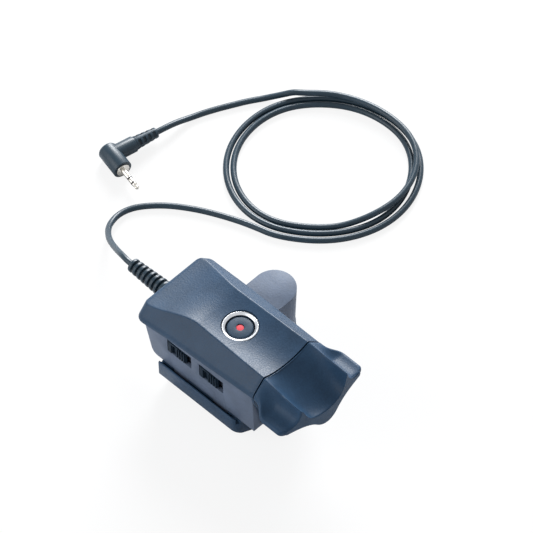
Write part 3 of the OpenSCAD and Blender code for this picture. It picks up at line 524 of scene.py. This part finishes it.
def edge_z(x):
    """Height of the top edges."""
    return BODY_TOP - REAR_DROP * (1 - flare(x))


def brow_half(x):
    """Half the width over the shoulders."""
    return mix(REAR_BROW_W, SEAM_BROW_W, along(x)) / 2


def rim_z(x):
    """Height of the cover's lower rim."""
    return mix(REAR_RIM_Z, SEAM_RIM_Z, (x - REAR_X) / BODY_LEN)


def cover_section(x, g, gz):
    """Right half of the cover's section, from the middle of the top over edge and shoulder to the rim.

    The top is a parabola, its edge a small curve, the flank straight, the shoulder an arc of SHOULDER_TURN,
    and the wall under it leans in to the rim. x, g and gz are columns; g and gz draw the section in and down.
    """
    w, zt, yb, d = edge_half(x) - g, edge_z(x) - gz, brow_half(x) - g, HOLLOW * along(x)
    zb = zt - (brow_half(x) - edge_half(x)) * FLANK_SLOPE - 0.1
    r = SHOULDER_R - np.minimum(g, SKIN)
    t = np.linspace(0, 1, 26)[None]
    top_y, top_z = (w - EDGE_IN) * t, zt - d * (1 - t * t)
    a = np.radians(SHOULDER_TURN * (1 - np.linspace(0, 1, 14)))[None]
    middle = math.sin(math.radians(SHOULDER_TURN / 2))
    arc_y, arc_z = yb - r + r * np.cos(a), zb - 1 + r * (np.sin(a) - middle)
    t = np.linspace(0, 1, 14)[None, :-1]
    flank_y, flank_z = mix(w + EDGE_OUT, arc_y[:, :1], t), mix(zt - EDGE_DOWN, arc_z[:, :1], t)
    t = np.linspace(0, 1, 6)[None, 1:-1]
    bend_y = (1 - t) ** 2 * top_y[:, -1:] + 2 * t * (1 - t) * (w + EDGE_PEAK) + t * t * flank_y[:, :1]
    bend_z = (1 - t) ** 2 * top_z[:, -1:] + 2 * t * (1 - t) * (zt + EDGE_PEAK) + t * t * flank_z[:, :1]
    t = np.linspace(0, 1, WALL_STEPS + 1)[None, 1:]
    wall_y, wall_z = mix(yb, RIM_HALF - g, t), mix(arc_z[:, -1:], rim_z(x) + 0 * zt, t)
    return (np.concatenate([top_y, bend_y, flank_y, arc_y, wall_y], 1),
            np.concatenate([top_z, bend_z, flank_z, arc_z, wall_z], 1))


def whole(y, z):
    """Mirrors right halves of sections to whole ones, from the left rim to the right."""
    return np.concatenate([-y[:, :0:-1], y], 1), np.concatenate([z[:, :0:-1], z], 1)


def cover_skin(x, g, gz, rear):
    """One skin of the cover: the sections at the stations x, led in by a flat end wall at rear."""
    y, z = whole(*cover_section(x[:, None], g[:, None], gz[:, None]))
    skin = np.stack([x[:, None] + 0 * y, y, z], -1)
    t = np.linspace(0, 1, 14)[:-1, None]
    side = np.abs(y[:1])
    rim, brow = side[0, 0], side[0, WALL_STEPS]
    low = mix(rim_z(rear), z[0, WALL_STEPS], np.clip((side - rim) / (brow - rim), 0, 1))
    wall = np.stack([rear + 0 * (t * y[:1]), y[:1] + 0 * t, mix(low, z[:1], t)], -1)
    return np.concatenate([wall, skin], 0)


def make_cover():
    """An outer and an inner skin joined along rim and seam, with the button's and the relief's holes cut."""
    corner_r, top_r, share, end_wall = 5.0, 3.0, 0.8, 3.6
    q = np.linspace(0, math.pi / 2, 12)
    straight = np.linspace(REAR_X + corner_r, SEAM_X, 90)[1:]
    x = np.r_[REAR_X + corner_r * (1 - np.cos(q)), straight]
    g = np.r_[share * corner_r * (1 - np.sin(q)), 0 * straight]
    left = np.maximum(top_r - (x - REAR_X), 0)
    gz = share * (top_r - np.sqrt(top_r ** 2 - left ** 2))
    outer = cover_skin(x, g, gz, REAR_X)
    x_in = mix(REAR_X + end_wall, SEAM_X - 0.3, (x - REAR_X) / BODY_LEN)
    inner = cover_skin(x_in, SKIN + 0 * x, SKIN + 0 * x, REAR_X + end_wall)
    rows, cols = outer.shape[:2]
    n = rows * cols
    number = np.arange(n).reshape(rows, cols)
    edge = np.r_[number[:, 0], number[-1, 1:], number[-2::-1, -1], number[0, -2::-1]]
    faces = np.vstack([quads(rows, cols), quads(rows, cols, first=n)[:, ::-1], strip(edge, edge + n)])
    cover = mesh_object("cover", np.vstack([outer.reshape(-1, 3), inner.reshape(-1, 3)]), faces)
    cut_through(cover, [([BUTTON_X, 0, 40], (0, 0, 1), RING_HOLE_R, 20.0),
                        ([REAR_X - 2, 0, AXIS_Z], (1, 0, 0), RELIEF_HOLE_R, 7.0)])
    return cover


def cut_through(piece, holes):
    """Cuts round holes; each is (start, direction, radius, length)."""
    for start, direction, radius, length in holes:
        points, faces = revolved([[0, 0], [radius, 0], [radius, length], [0, length]], 96)
        tool = mesh_object("cutter", placed(points, start, (0, 1, 0.1), direction), faces)
        cut = piece.modifiers.new("cut", "BOOLEAN")
        cut.operation = "DIFFERENCE"
        cut.solver = "EXACT"
        cut.object = tool
        baked(piece)
        bpy.data.objects.remove(tool, do_unlink=True)


# Right half of the nose's outline in Y and Z, and the radii of its corners
NOSE = [[21.15, 40.0], [20.9, 37.5], [19, 32.5], [17.6, 27], [16.6, 21.5], [15.9, 16.4], [10.33, 16.4]]
NOSE_RADII = [0.6, 1.5, 3.0, 3.0, 1.0]
WALL_FOOT = 40.45  # above it the front wall follows the cover, below it the nose
WALL_REAR = 35.3
BORE_Z, BORE_R, BORE_FROM = 14, 10.6, 13.1  # the bore's arc starts this many degrees up, at the nose's foot
WALL_EDGE = ((0.32, 0.0), (0.12, 0.1), (0.02, 0.32))  # distance from the seam, how far the edge is drawn in
WALL_MIDDLE = np.array([0.0, 33.0])


def make_front_wall():
    """The wall at the seam and the nose below it: one outline, carried over the wall with softened edges."""
    x = np.array([[SEAM_X]])
    y, z = cover_section(x, 0 * x, 0 * x)
    keep = z[0] > WALL_FOOT
    nose = rounded(NOSE, NOSE_RADII, 4)
    a = np.radians(np.linspace(BORE_FROM, 90, 14))
    bore = np.stack([BORE_R * np.cos(a), BORE_Z + BORE_R * np.sin(a)], -1)
    half = np.vstack([np.stack([y[0][keep], z[0][keep]], -1), nose, bore[1:]])
    ring = np.vstack([half, (half * [-1, 1])[-2:0:-1]])
    away = ring - WALL_MIDDLE
    rows = []
    for before, inset in ((SEAM_X - WALL_REAR, 0.0), *WALL_EDGE):
        pulled = WALL_MIDDLE + away * (1 - inset / np.linalg.norm(away, axis=1, keepdims=True))
        rows.append(np.c_[np.full(len(ring), SEAM_X - before), pulled])
    rows = np.array(rows)
    n = rows.shape[1]
    faces = [list(f) for f in quads(len(rows), n, wrap=True)]
    faces += [list(range(n)), list(range((len(rows) - 1) * n, len(rows) * n))[::-1]]
    return mesh_object("front_wall", rows.reshape(-1, 3), faces)


def face_z(x, y):
    """Height of the top face."""
    return edge_z(x) - HOLLOW * along(x) * (1 - (y / edge_half(x)) ** 2)


TOP_AT_BUTTON = float(face_z(BUTTON_X, 0.0))
RING_SEAT = TOP_AT_BUTTON - 1.4
CAP_TOP = TOP_AT_BUTTON - 0.75
FLANGE_Z = RING_SEAT - 2.6
DOT_FLOOR = CAP_TOP - 0.6
STEM_Z = 44.0
SEAT_R, SEAT_T = 10.4, 1.3
RING_BORE, RING_R = 7.0, 8.8
CAP_R, FLANGE_R, FLANGE_T, STEM_R = 6.35, 7.9, 1.1, 2.2
DOT_WELL_R, DOT_R = 1.9, 1.86


def joined(*pieces):
    """One piece from several."""
    for piece in pieces:
        piece.select_set(True)
    bpy.context.view_layer.objects.active = pieces[0]
    bpy.ops.object.join()
    pieces[0].select_set(False)
    return pieces[0]


def at_button(name, profile, turns=96):
    """A piece turned round the button's axis."""
    points, faces = revolved(profile, turns)
    return mesh_object(name, points + [BUTTON_X, 0, 0], faces)


bpy.ops.object.select_all(action="DESELECT")
seat = at_button("button_seat", [
    [RING_BORE, RING_SEAT - SEAT_T], [SEAT_R, RING_SEAT - SEAT_T], [SEAT_R, RING_SEAT],
    [RING_BORE, RING_SEAT], [RING_BORE, RING_SEAT - SEAT_T]])
cover = joined(make_cover(), make_front_wall(), seat)
stands_for(cover, "root", "shell_plastic", "shell", "top_cover")

ring = at_button("bright_ring", rounded(
    [[RING_BORE, RING_SEAT], [RING_R, RING_SEAT], [RING_R, TOP_AT_BUTTON - 0.1],
     [RING_R - 0.35, TOP_AT_BUTTON + 0.15], [RING_R - 0.7, TOP_AT_BUTTON + 0.12],
     [RING_BORE + 0.25, TOP_AT_BUTTON - 0.5], [RING_BORE, TOP_AT_BUTTON - 0.75], [RING_BORE, RING_SEAT]],
    [0, 0.1, 0.15, 0.15, 0.15, 0.15], 3))
stands_for(ring, "root", "bright_metal", "bright", "button_ring")
cap = at_button("button_cap", np.vstack([
    [[0, DOT_FLOOR], [DOT_WELL_R, DOT_FLOOR]],
    rounded([[DOT_WELL_R, DOT_FLOOR], [DOT_WELL_R + 0.05, CAP_TOP - 0.02], [4.0, CAP_TOP],
             [CAP_R - 0.35, CAP_TOP - 0.2], [CAP_R, CAP_TOP - 0.6], [CAP_R, FLANGE_Z + FLANGE_T],
             [FLANGE_R, FLANGE_Z + FLANGE_T], [FLANGE_R, FLANGE_Z], [STEM_R, FLANGE_Z], [STEM_R, STEM_Z]],
            [0.12, 1.0, 0.5, 0.3, 0.1, 0.1, 0.1, 0.1], 4),
    [[0, STEM_Z]]]))
stands_for(cap, "button", "shell_plastic", "cap", "record_button")
dot = at_button("red_dot", [
    [0, DOT_FLOOR], [DOT_R, DOT_FLOOR], [DOT_R, DOT_FLOOR + 0.15], [DOT_R - 0.1, DOT_FLOOR + 0.23],
    [1.2, DOT_FLOOR + 0.27], [0, DOT_FLOOR + 0.29]], 64)
stands_for(dot, "button", "red_plastic", "dot", "button_dot")


# ---- Rocker ----
SEAM_GAP, ROCKER_LEN = 0.6, 27.0
ROCKER_X, ROCKER_RUN = SEAM_X + SEAM_GAP, ROCKER_LEN - SEAM_GAP
WING_RUN = 13.0  # length over which the wings grow out of the shoulders
CREST_END, FLANK_START = 0.94, 0.08  # the small round crest joins these shares of trough and flank
# Each pair is at the seam and at the front; for the wings' tips, at the seam and full grown
CREST_HALF, CREST_Z, TROUGH_DEPTH, HUB_Z = (14.8, 15.2), (52.0, 50.7), (3.0, 12.3), (25.5, 28.9)
TIP_Y, TIP_Z, TIP_ROUND = (18.7, 25.5), (43.4, 40.0), (3.3, 1.7)
BOW, BOW_AT, BOW_STRAIGHT = 1.3, 14.8, 13.1


def cubic(a, b, c, d, t):
    """A curve from a to d that leaves towards b and arrives from c; a to d are columns of points, t a row.

    It is (1 - t)^3 a + 3 t (1 - t)^2 b + 3 t^2 (1 - t) c + t^3 d.
    """
    t = t[None, :, None]
    return ((1 - t) ** 3 * a[:, None] + 3 * t * (1 - t) ** 2 * b[:, None] + 3 * t * t * (1 - t) * c[:, None]
            + t ** 3 * d[:, None])


def columns(low, high, t):
    """Points that move from low to high with each share in t."""
    return mix(np.array(low, float), np.array(high, float), t[:, None])


def rocker_sections(u, inset, nib):
    """Upper and lower edges of the right halves of the rocker's sections, point over point.

    u is the share of the rocker's length. Upper edge: a trough that rises by 0.35 s^2 + 0.65 s^6 over its
    half width at the front, a small round crest, a hollow flank and the thin tip's arc. Lower edge: the tip's
    arc, an S-shaped underside and the hub. inset draws the section in, nib the tip alone.
    """
    m = smooth(u * ROCKER_LEN / WING_RUN)
    w, zr = mix(*CREST_HALF, u) - inset, mix(*CREST_Z, u) - inset
    depth = mix(*TROUGH_DEPTH, np.sin(u * math.pi / 2)) - inset * 0.4
    trough = smooth(u * 1.15)[:, None]
    s = np.linspace(0, CREST_END, 30)[None]
    floor = mix(s ** 2.3, 0.35 * s ** 2 + 0.65 * s ** 6, trough)
    valley = np.stack([w[:, None] * s, zr[:, None] - depth[:, None] * (1 - floor)], -1)
    r = mix(*TIP_ROUND, m) - inset
    waist = 0.6 * np.sin(math.pi * np.clip(u * 2.6, 0, 1)) ** 2
    tip = np.stack([mix(*TIP_Y, m) - waist - nib, mix(*TIP_Z, m)], -1)
    top, low = np.radians(mix(50, 92, m)), np.radians(mix(-40, -88, m))
    tip_top = tip + r[:, None] * np.stack([np.cos(top), np.sin(top)], -1)
    tip_low = tip + r[:, None] * np.stack([np.cos(low), np.sin(low)], -1)
    pull = inset[:, None] * np.array([0.8, 0.6])
    flank = cubic(np.stack([w + 0.15, zr - 0.3], -1), columns((16.9, 49.8), (15.7, 44.6), m) - pull,
                  columns((18.9, 47.9), (18.4, 41.6), m) - pull, tip_top,
                  np.linspace(FLANK_START, 1, 26)[:-1])
    t = np.linspace(0, 1, 6)[None, 1:-1, None]
    peak = np.stack([w, zr], -1)[:, None]
    crest = (1 - t) ** 2 * valley[:, -1:] + 2 * t * (1 - t) * peak + t * t * flank[:, :1]
    a = top[:, None] * np.linspace(1, 0, 12)[None]
    arc = tip[:, None] + r[:, None, None] * np.stack([np.cos(a), np.sin(a)], -1)
    upper = np.concatenate([valley, crest, flank, arc], 1)
    a = low[:, None] * np.linspace(0, 1, 12)[None]
    arc = tip[:, None] + r[:, None, None] * np.stack([np.cos(a), np.sin(a)], -1)
    side = columns((5.94, 29.36), (7.4, 33.0), u) + inset[:, None] * np.array([-0.6, 0.6])
    bottom = mix(*HUB_Z, u) + inset
    under = cubic(tip_low, columns((20.6, 38.4), (16.0, 37.9), m), columns((12.0, 34.2), (11.6, 37.2), m),
                  side, np.linspace(0, 1, 26)[1:])
    t = np.linspace(0, 1, 12)[None, 1:, None]
    middle = np.stack([0 * bottom, bottom], -1)[:, None]
    hub = (1 - t) ** 2 * side[:, None] + 2 * t * (1 - t) * (middle + [3.8, 0]) + t * t * middle
    below = np.concatenate([arc, under, hub], 1)[:, ::-1]
    lower = np.stack([np.stack([y, np.interp(y, line[:, 0], line[:, 1])], -1)
                      for y, line in zip(upper[..., 0], below)])
    return upper, lower


def bow(y):
    """How far the front face lies back beside its middle: a parabola that goes on along its tangent."""
    y = np.abs(y)
    start = BOW * (BOW_STRAIGHT / BOW_AT) ** 2
    slope = 2 * BOW * BOW_STRAIGHT / BOW_AT ** 2
    return np.where(y < BOW_STRAIGHT, BOW * (y / BOW_AT) ** 2, start + slope * (y - BOW_STRAIGHT))


def make_rocker():
    """Sections from the seam to the bowed front, both ends softened and closed, the wings' corners round."""
    soft, lead_in, nose = 0.7, 0.4, 2.4
    start = np.linspace(0, math.pi / 2, 4)
    q = np.linspace(0, math.pi / 2, 9)
    turn = np.linspace(0, math.pi / 2, 7)[1:]
    straight = np.linspace(0, 1 - nose / ROCKER_LEN, 54)[1:-1]
    d = nose * (1 - np.sin(q))
    u = np.r_[0 * start, straight, 1 - d / ROCKER_LEN, 0 * turn + 1]
    nib = np.r_[0 * start, 0 * straight, nose * (1 - np.cos(q)), 0 * turn + nose]
    plain = np.zeros(len(straight) + len(q))
    inset = np.r_[lead_in * (1 - np.sin(start)), plain, soft * (1 - np.cos(turn))]
    back = np.r_[lead_in * (1 - np.cos(start)), plain, soft * np.sin(turn)]
    halves = rocker_sections(u, inset, nib)
    upper, lower = (np.concatenate([(e * [-1, 1])[:, :0:-1], e], 1) for e in halves)

    def spaced(edge):
        x = ROCKER_X + u[:, None] * (ROCKER_RUN - soft - bow(edge[..., 0])) + back[:, None]
        return np.concatenate([x[..., None], edge], -1)
    upper, lower = spaced(upper), spaced(lower)
    rows = np.concatenate([upper, lower[:, -2:0:-1]], 1)
    t = np.linspace(0, 1, 12)[:, None, None]
    rear, front = (mix(upper[i][None], lower[i][None], t) for i in (0, -1))
    front[..., 0] = ROCKER_X + ROCKER_RUN - bow(front[..., 1])
    faces, points, first = [quads(*rows.shape[:2], wrap=True)], [rows.reshape(-1, 3)], rows[..., 0].size
    for cap in (rear, front):
        faces.append(quads(*cap.shape[:2], first=first))
        points.append(cap.reshape(-1, 3))
        first += cap.shape[0] * cap.shape[1]
    return mesh_object("rocker", np.vstack(points), np.vstack(faces), 40.0)


stands_for(make_rocker(), "rocker", "shell_plastic", "rocker", "zoom_rocker")

# ---- Housing, clamp, switches and small pieces: CAD shapes with their edges rounded ----
for node, name, width, body, slot, key in (
        ("lower_housing", "housing", 0.35, "root", "panel_plastic", "panel"),
        ("clamp_jaw", "jaw", 0.35, "jaw", "shell_plastic", "shell"),
        ("clamp_knob", "knob", 0.25, "knob", "black_plastic", "black"),
        ("switch_slider_rear", "rear_thumb_piece", 0.18, "slider_rear", "switch_plastic", "switch"),
        ("switch_slider_front", "front_thumb_piece", 0.18, "slider_front", "switch_plastic", "switch"),
        ("plug_body", "plug_moulding", 0.3, "root", "rubber", "boot"),
        ("plug_boot", "plug_boot_moulding", 0.12, "root", "rubber", "boot"),
        ("thrust_washer", "washer", 0.1, "washer", "steel", "steel"),
        ("clamp_screw", "screw", 0.3, "knob", "steel", "steel"),
        ("hinge_pin", "pin", 0.15, "root", "steel", "steel")):
    stands_for(softened(node, name, width), body, slot, key, node)


RELIEF_X, RELIEF_LEN = -37.0, 28.3
RELIEF_BASE_D, RELIEF_END_D, SHEATH_HOLE_R = 9.8, 7.0, 1.55
GROOVES, GROOVE_PITCH, GROOVE_W, GROOVE_DEPTH, FIRST_GROOVE = 8, 2.9, 1.15, 1.5, 1.9
NECK_FROM, NECK_R = 0.9, 4.15  # the neck joins the cone to a flange inside the body
INNER_FLANGE_R, INNER_FLANGE_FROM, INNER_FLANGE_TO = 4.95, -5.05, -6.3


def make_relief():
    """The strain relief: a cone of ribs with soft edges, turned round the lead's axis."""
    def radius(d):
        return mix(RELIEF_BASE_D, RELIEF_END_D, d / RELIEF_LEN) / 2
    outline = [[RELIEF_LEN, 0], [RELIEF_LEN, SHEATH_HOLE_R], [RELIEF_LEN, radius(RELIEF_LEN)]]
    radii = [0.0, 0.7]
    for i in range(GROOVES):
        d = RELIEF_LEN - FIRST_GROOVE - i * GROOVE_PITCH
        top, low = radius(d), radius(d) - GROOVE_DEPTH
        outline += [[d, top], [d, low], [d - GROOVE_W, low], [d - GROOVE_W, top]]
        radii += [0.45, 0.3, 0.3, 0.45]
    outline += [[NECK_FROM, radius(0)], [NECK_FROM, NECK_R], [INNER_FLANGE_FROM, NECK_R],
                [INNER_FLANGE_FROM, INNER_FLANGE_R], [INNER_FLANGE_TO, INNER_FLANGE_R], [INNER_FLANGE_TO, 0]]
    radii += [0.5, 0.2, 0.1, 0.1, 0.1]
    line = rounded(outline, radii, 4)
    points, faces = revolved(line[:, ::-1], 72)
    return mesh_object("relief", placed(points, [RELIEF_X, 0, AXIS_Z], (0, 1, 0), (-1, 0, 0)), faces, 45.0)


stands_for(make_relief(), "root", "rubber", "boot", "strain_relief")


def on_pin(name, profile):
    """A piece turned round the plug's pin; heights count from the elbow."""
    points, faces = revolved(profile, 56)
    return mesh_object(name, placed(points, PLUG_AT, (0, 0, 1), PIN_DIR), faces, 30.0)


PIN_R, NOSE_R, PIN_FLANGE_R, TIP_WAIST_R, TIP_HEAD_R = 1.25, 1.9, 3.4, 0.75, 1.1
NOSE_END, FLANGE_FROM, FLANGE_TO, SLEEVE_END = 7.2, 10.2, 10.9, 16.36
RING_START, RING_END, TIP_START, PIN_END = 17.16, 19.72, 20.52, 24.2


def make_sleeve():
    """The sleeve with the flange that rests on the moulding."""
    return on_pin("pin_sleeve", rounded(
        [[0, NOSE_END], [NOSE_R, NOSE_END], [NOSE_R, FLANGE_FROM], [PIN_FLANGE_R, FLANGE_FROM],
         [PIN_FLANGE_R, FLANGE_TO], [PIN_R, FLANGE_TO], [PIN_R, SLEEVE_END], [0, SLEEVE_END]],
        [0, 0, 0.15, 0.15, 0.1, 0.06], 3))


def make_pin_ring():
    """The contact between the two insulating bands."""
    return on_pin("pin_ring", rounded(
        [[0, RING_START], [PIN_R, RING_START], [PIN_R, RING_END], [0, RING_END]], 0.06, 3))


def make_tip():
    """The tip: a waist that the socket's spring holds, and a round head."""
    def at(share):
        return TIP_START + (PIN_END - TIP_START) * share
    return on_pin("pin_tip", rounded(
        [[0, TIP_START], [PIN_R, TIP_START], [PIN_R, at(0.2)], [TIP_WAIST_R, at(0.42)],
         [TIP_WAIST_R, at(0.5)], [TIP_HEAD_R, at(0.66)], [TIP_HEAD_R, at(0.78)], [0.6, at(0.95)],
         [0.25, PIN_END], [0, PIN_END]],
        [0.05, 0.3, 0.2, 0.2, 0.3, 0.3, 0.3, 0.1], 4))


for piece, node in ((make_sleeve(), "plug_sleeve"), (make_pin_ring(), "plug_ring"), (make_tip(), "plug_tip")):
    stands_for(piece, "root", "bright_metal", "contact", node)

# ---- CAD pieces that keep their shape ----
for key, kept in {
        "black": ("switch_plunger", "processor_chip", "switch_body_rear", "switch_body_front", "angle_sensor",
                  "return_arm", "plug_insulators"),
        "steel": ("tact_switch", "centring_spring", "rocker_shaft", "case_screws"),
        "brass": ("shaft_bush", "nut_insert"),
        "board": ("circuit_board", "switch_board"),
        "pad": ("saddle_pad", "jaw_pad"),
        "ivory": ("cord_header",),
        "sheath": ("inner_wires",)}.items():
    for node in kept:
        dress(nodes[node], key)


# ---- Floor, lamps and background ----
def seen_rays(tree, passed=1.0):
    """1 for rays from the camera, passed for those that a mirror or glass passes on, 0 for the rest."""
    rays = tree.nodes.new("ShaderNodeLightPath")
    total = rays.outputs["Is Camera Ray"]
    for name in ("Is Glossy Ray", "Is Transmission Ray"):
        share = tree.nodes.new("ShaderNodeMath")
        share.operation = "MULTIPLY"
        share.inputs[1].default_value = passed
        tree.links.new(rays.outputs[name], share.inputs[0])
        widest = tree.nodes.new("ShaderNodeMath")
        widest.operation = "MAXIMUM"
        tree.links.new(total, widest.inputs[0])
        tree.links.new(share.outputs[0], widest.inputs[1])
        total = widest.outputs[0]
    return total


FLOOR_HALF = 3.0  # metres
GLOW_SHARE = 0.86  # how much of what the camera sees of the floor is the floor's own light
MIRRORED = 0.1  # share of that light that mirrors see


def make_floor():
    """A wide pale table; the camera sees it nearly white, and it keeps the shadow."""
    mesh = bpy.data.meshes.new("floor")
    s = FLOOR_HALF
    mesh.from_pydata([(-s, -s, 0), (s, -s, 0), (s, s, 0), (-s, s, 0)], [], [(0, 1, 2, 3)])
    floor = bpy.data.objects.new("floor", mesh)
    bpy.context.scene.collection.objects.link(floor)
    material, tree, surface = shader("pale_table")
    surface.inputs["Base Color"].default_value = (0.80, 0.80, 0.805, 1)
    surface.inputs["Roughness"].default_value = 0.9
    surface.inputs["Specular IOR Level"].default_value = 0.1
    glow = tree.nodes.new("ShaderNodeEmission")
    glow.inputs["Strength"].default_value = 1.0
    seen = tree.nodes.new("ShaderNodeMath")
    seen.operation = "MULTIPLY"
    seen.inputs[1].default_value = GLOW_SHARE
    tree.links.new(seen_rays(tree, MIRRORED), seen.inputs[0])
    blend = tree.nodes.new("ShaderNodeMixShader")
    tree.links.new(seen.outputs[0], blend.inputs["Fac"])
    tree.links.new(surface.outputs[0], blend.inputs[1])
    tree.links.new(glow.outputs[0], blend.inputs[2])
    tree.links.new(blend.outputs[0], tree.nodes["Material Output"].inputs["Surface"])
    mesh.materials.append(material)


make_floor()


LAMP_COLOUR = (0.97, 0.985, 1.0)


def soft_lamp(name, place, aim, size, power):
    """A square soft lamp at place, turned to aim; lengths in metres, power in watts."""
    data = bpy.data.lights.new(name, "AREA")
    data.shape = "SQUARE"
    data.size = size
    data.energy = power
    data.color = LAMP_COLOUR
    lamp = bpy.data.objects.new(name, data)
    bpy.context.scene.collection.objects.link(lamp)
    back = np.array(place, float) - np.array(aim, float)
    back = back / np.linalg.norm(back)
    right = np.cross([0.0, 0.0, 1.0], back)
    right = right / np.linalg.norm(right)
    stand(lamp, np.stack([right, np.cross(back, right), back], 1), place)


soft_lamp("back_softbox", (-0.78, 0.98, 0.74), (0, 0.03, 0.02), 0.55, 30.0)
soft_lamp("far_softbox", (-0.62, 1.08, 0.42), (0, 0.0, 0.04), 0.5, 11.0)
soft_lamp("left_softbox", (-0.65, -1.10, 0.75), (0, 0.03, 0.02), 1.1, 13.0)


def make_world():
    """A soft grey surround that lights the part, seen white by the camera and by mirrors."""
    world = bpy.data.worlds.new("studio")
    bpy.context.scene.world = world
    world.use_nodes = True
    tree = world.node_tree
    backdrop = tree.nodes["Background"]
    backdrop.inputs["Color"].default_value = (0.95, 0.97, 1.0, 1)
    backdrop.inputs["Strength"].default_value = 0.35
    white = tree.nodes.new("ShaderNodeBackground")
    white.inputs["Color"].default_value = (1, 1, 1, 1)
    both = tree.nodes.new("ShaderNodeMixShader")
    tree.links.new(seen_rays(tree), both.inputs["Fac"])
    tree.links.new(backdrop.outputs[0], both.inputs[1])
    tree.links.new(white.outputs[0], both.inputs[2])
    tree.links.new(both.outputs[0], tree.nodes["World Output"].inputs["Surface"])


make_world()
bpy.context.scene.view_settings.view_transform = "Standard"
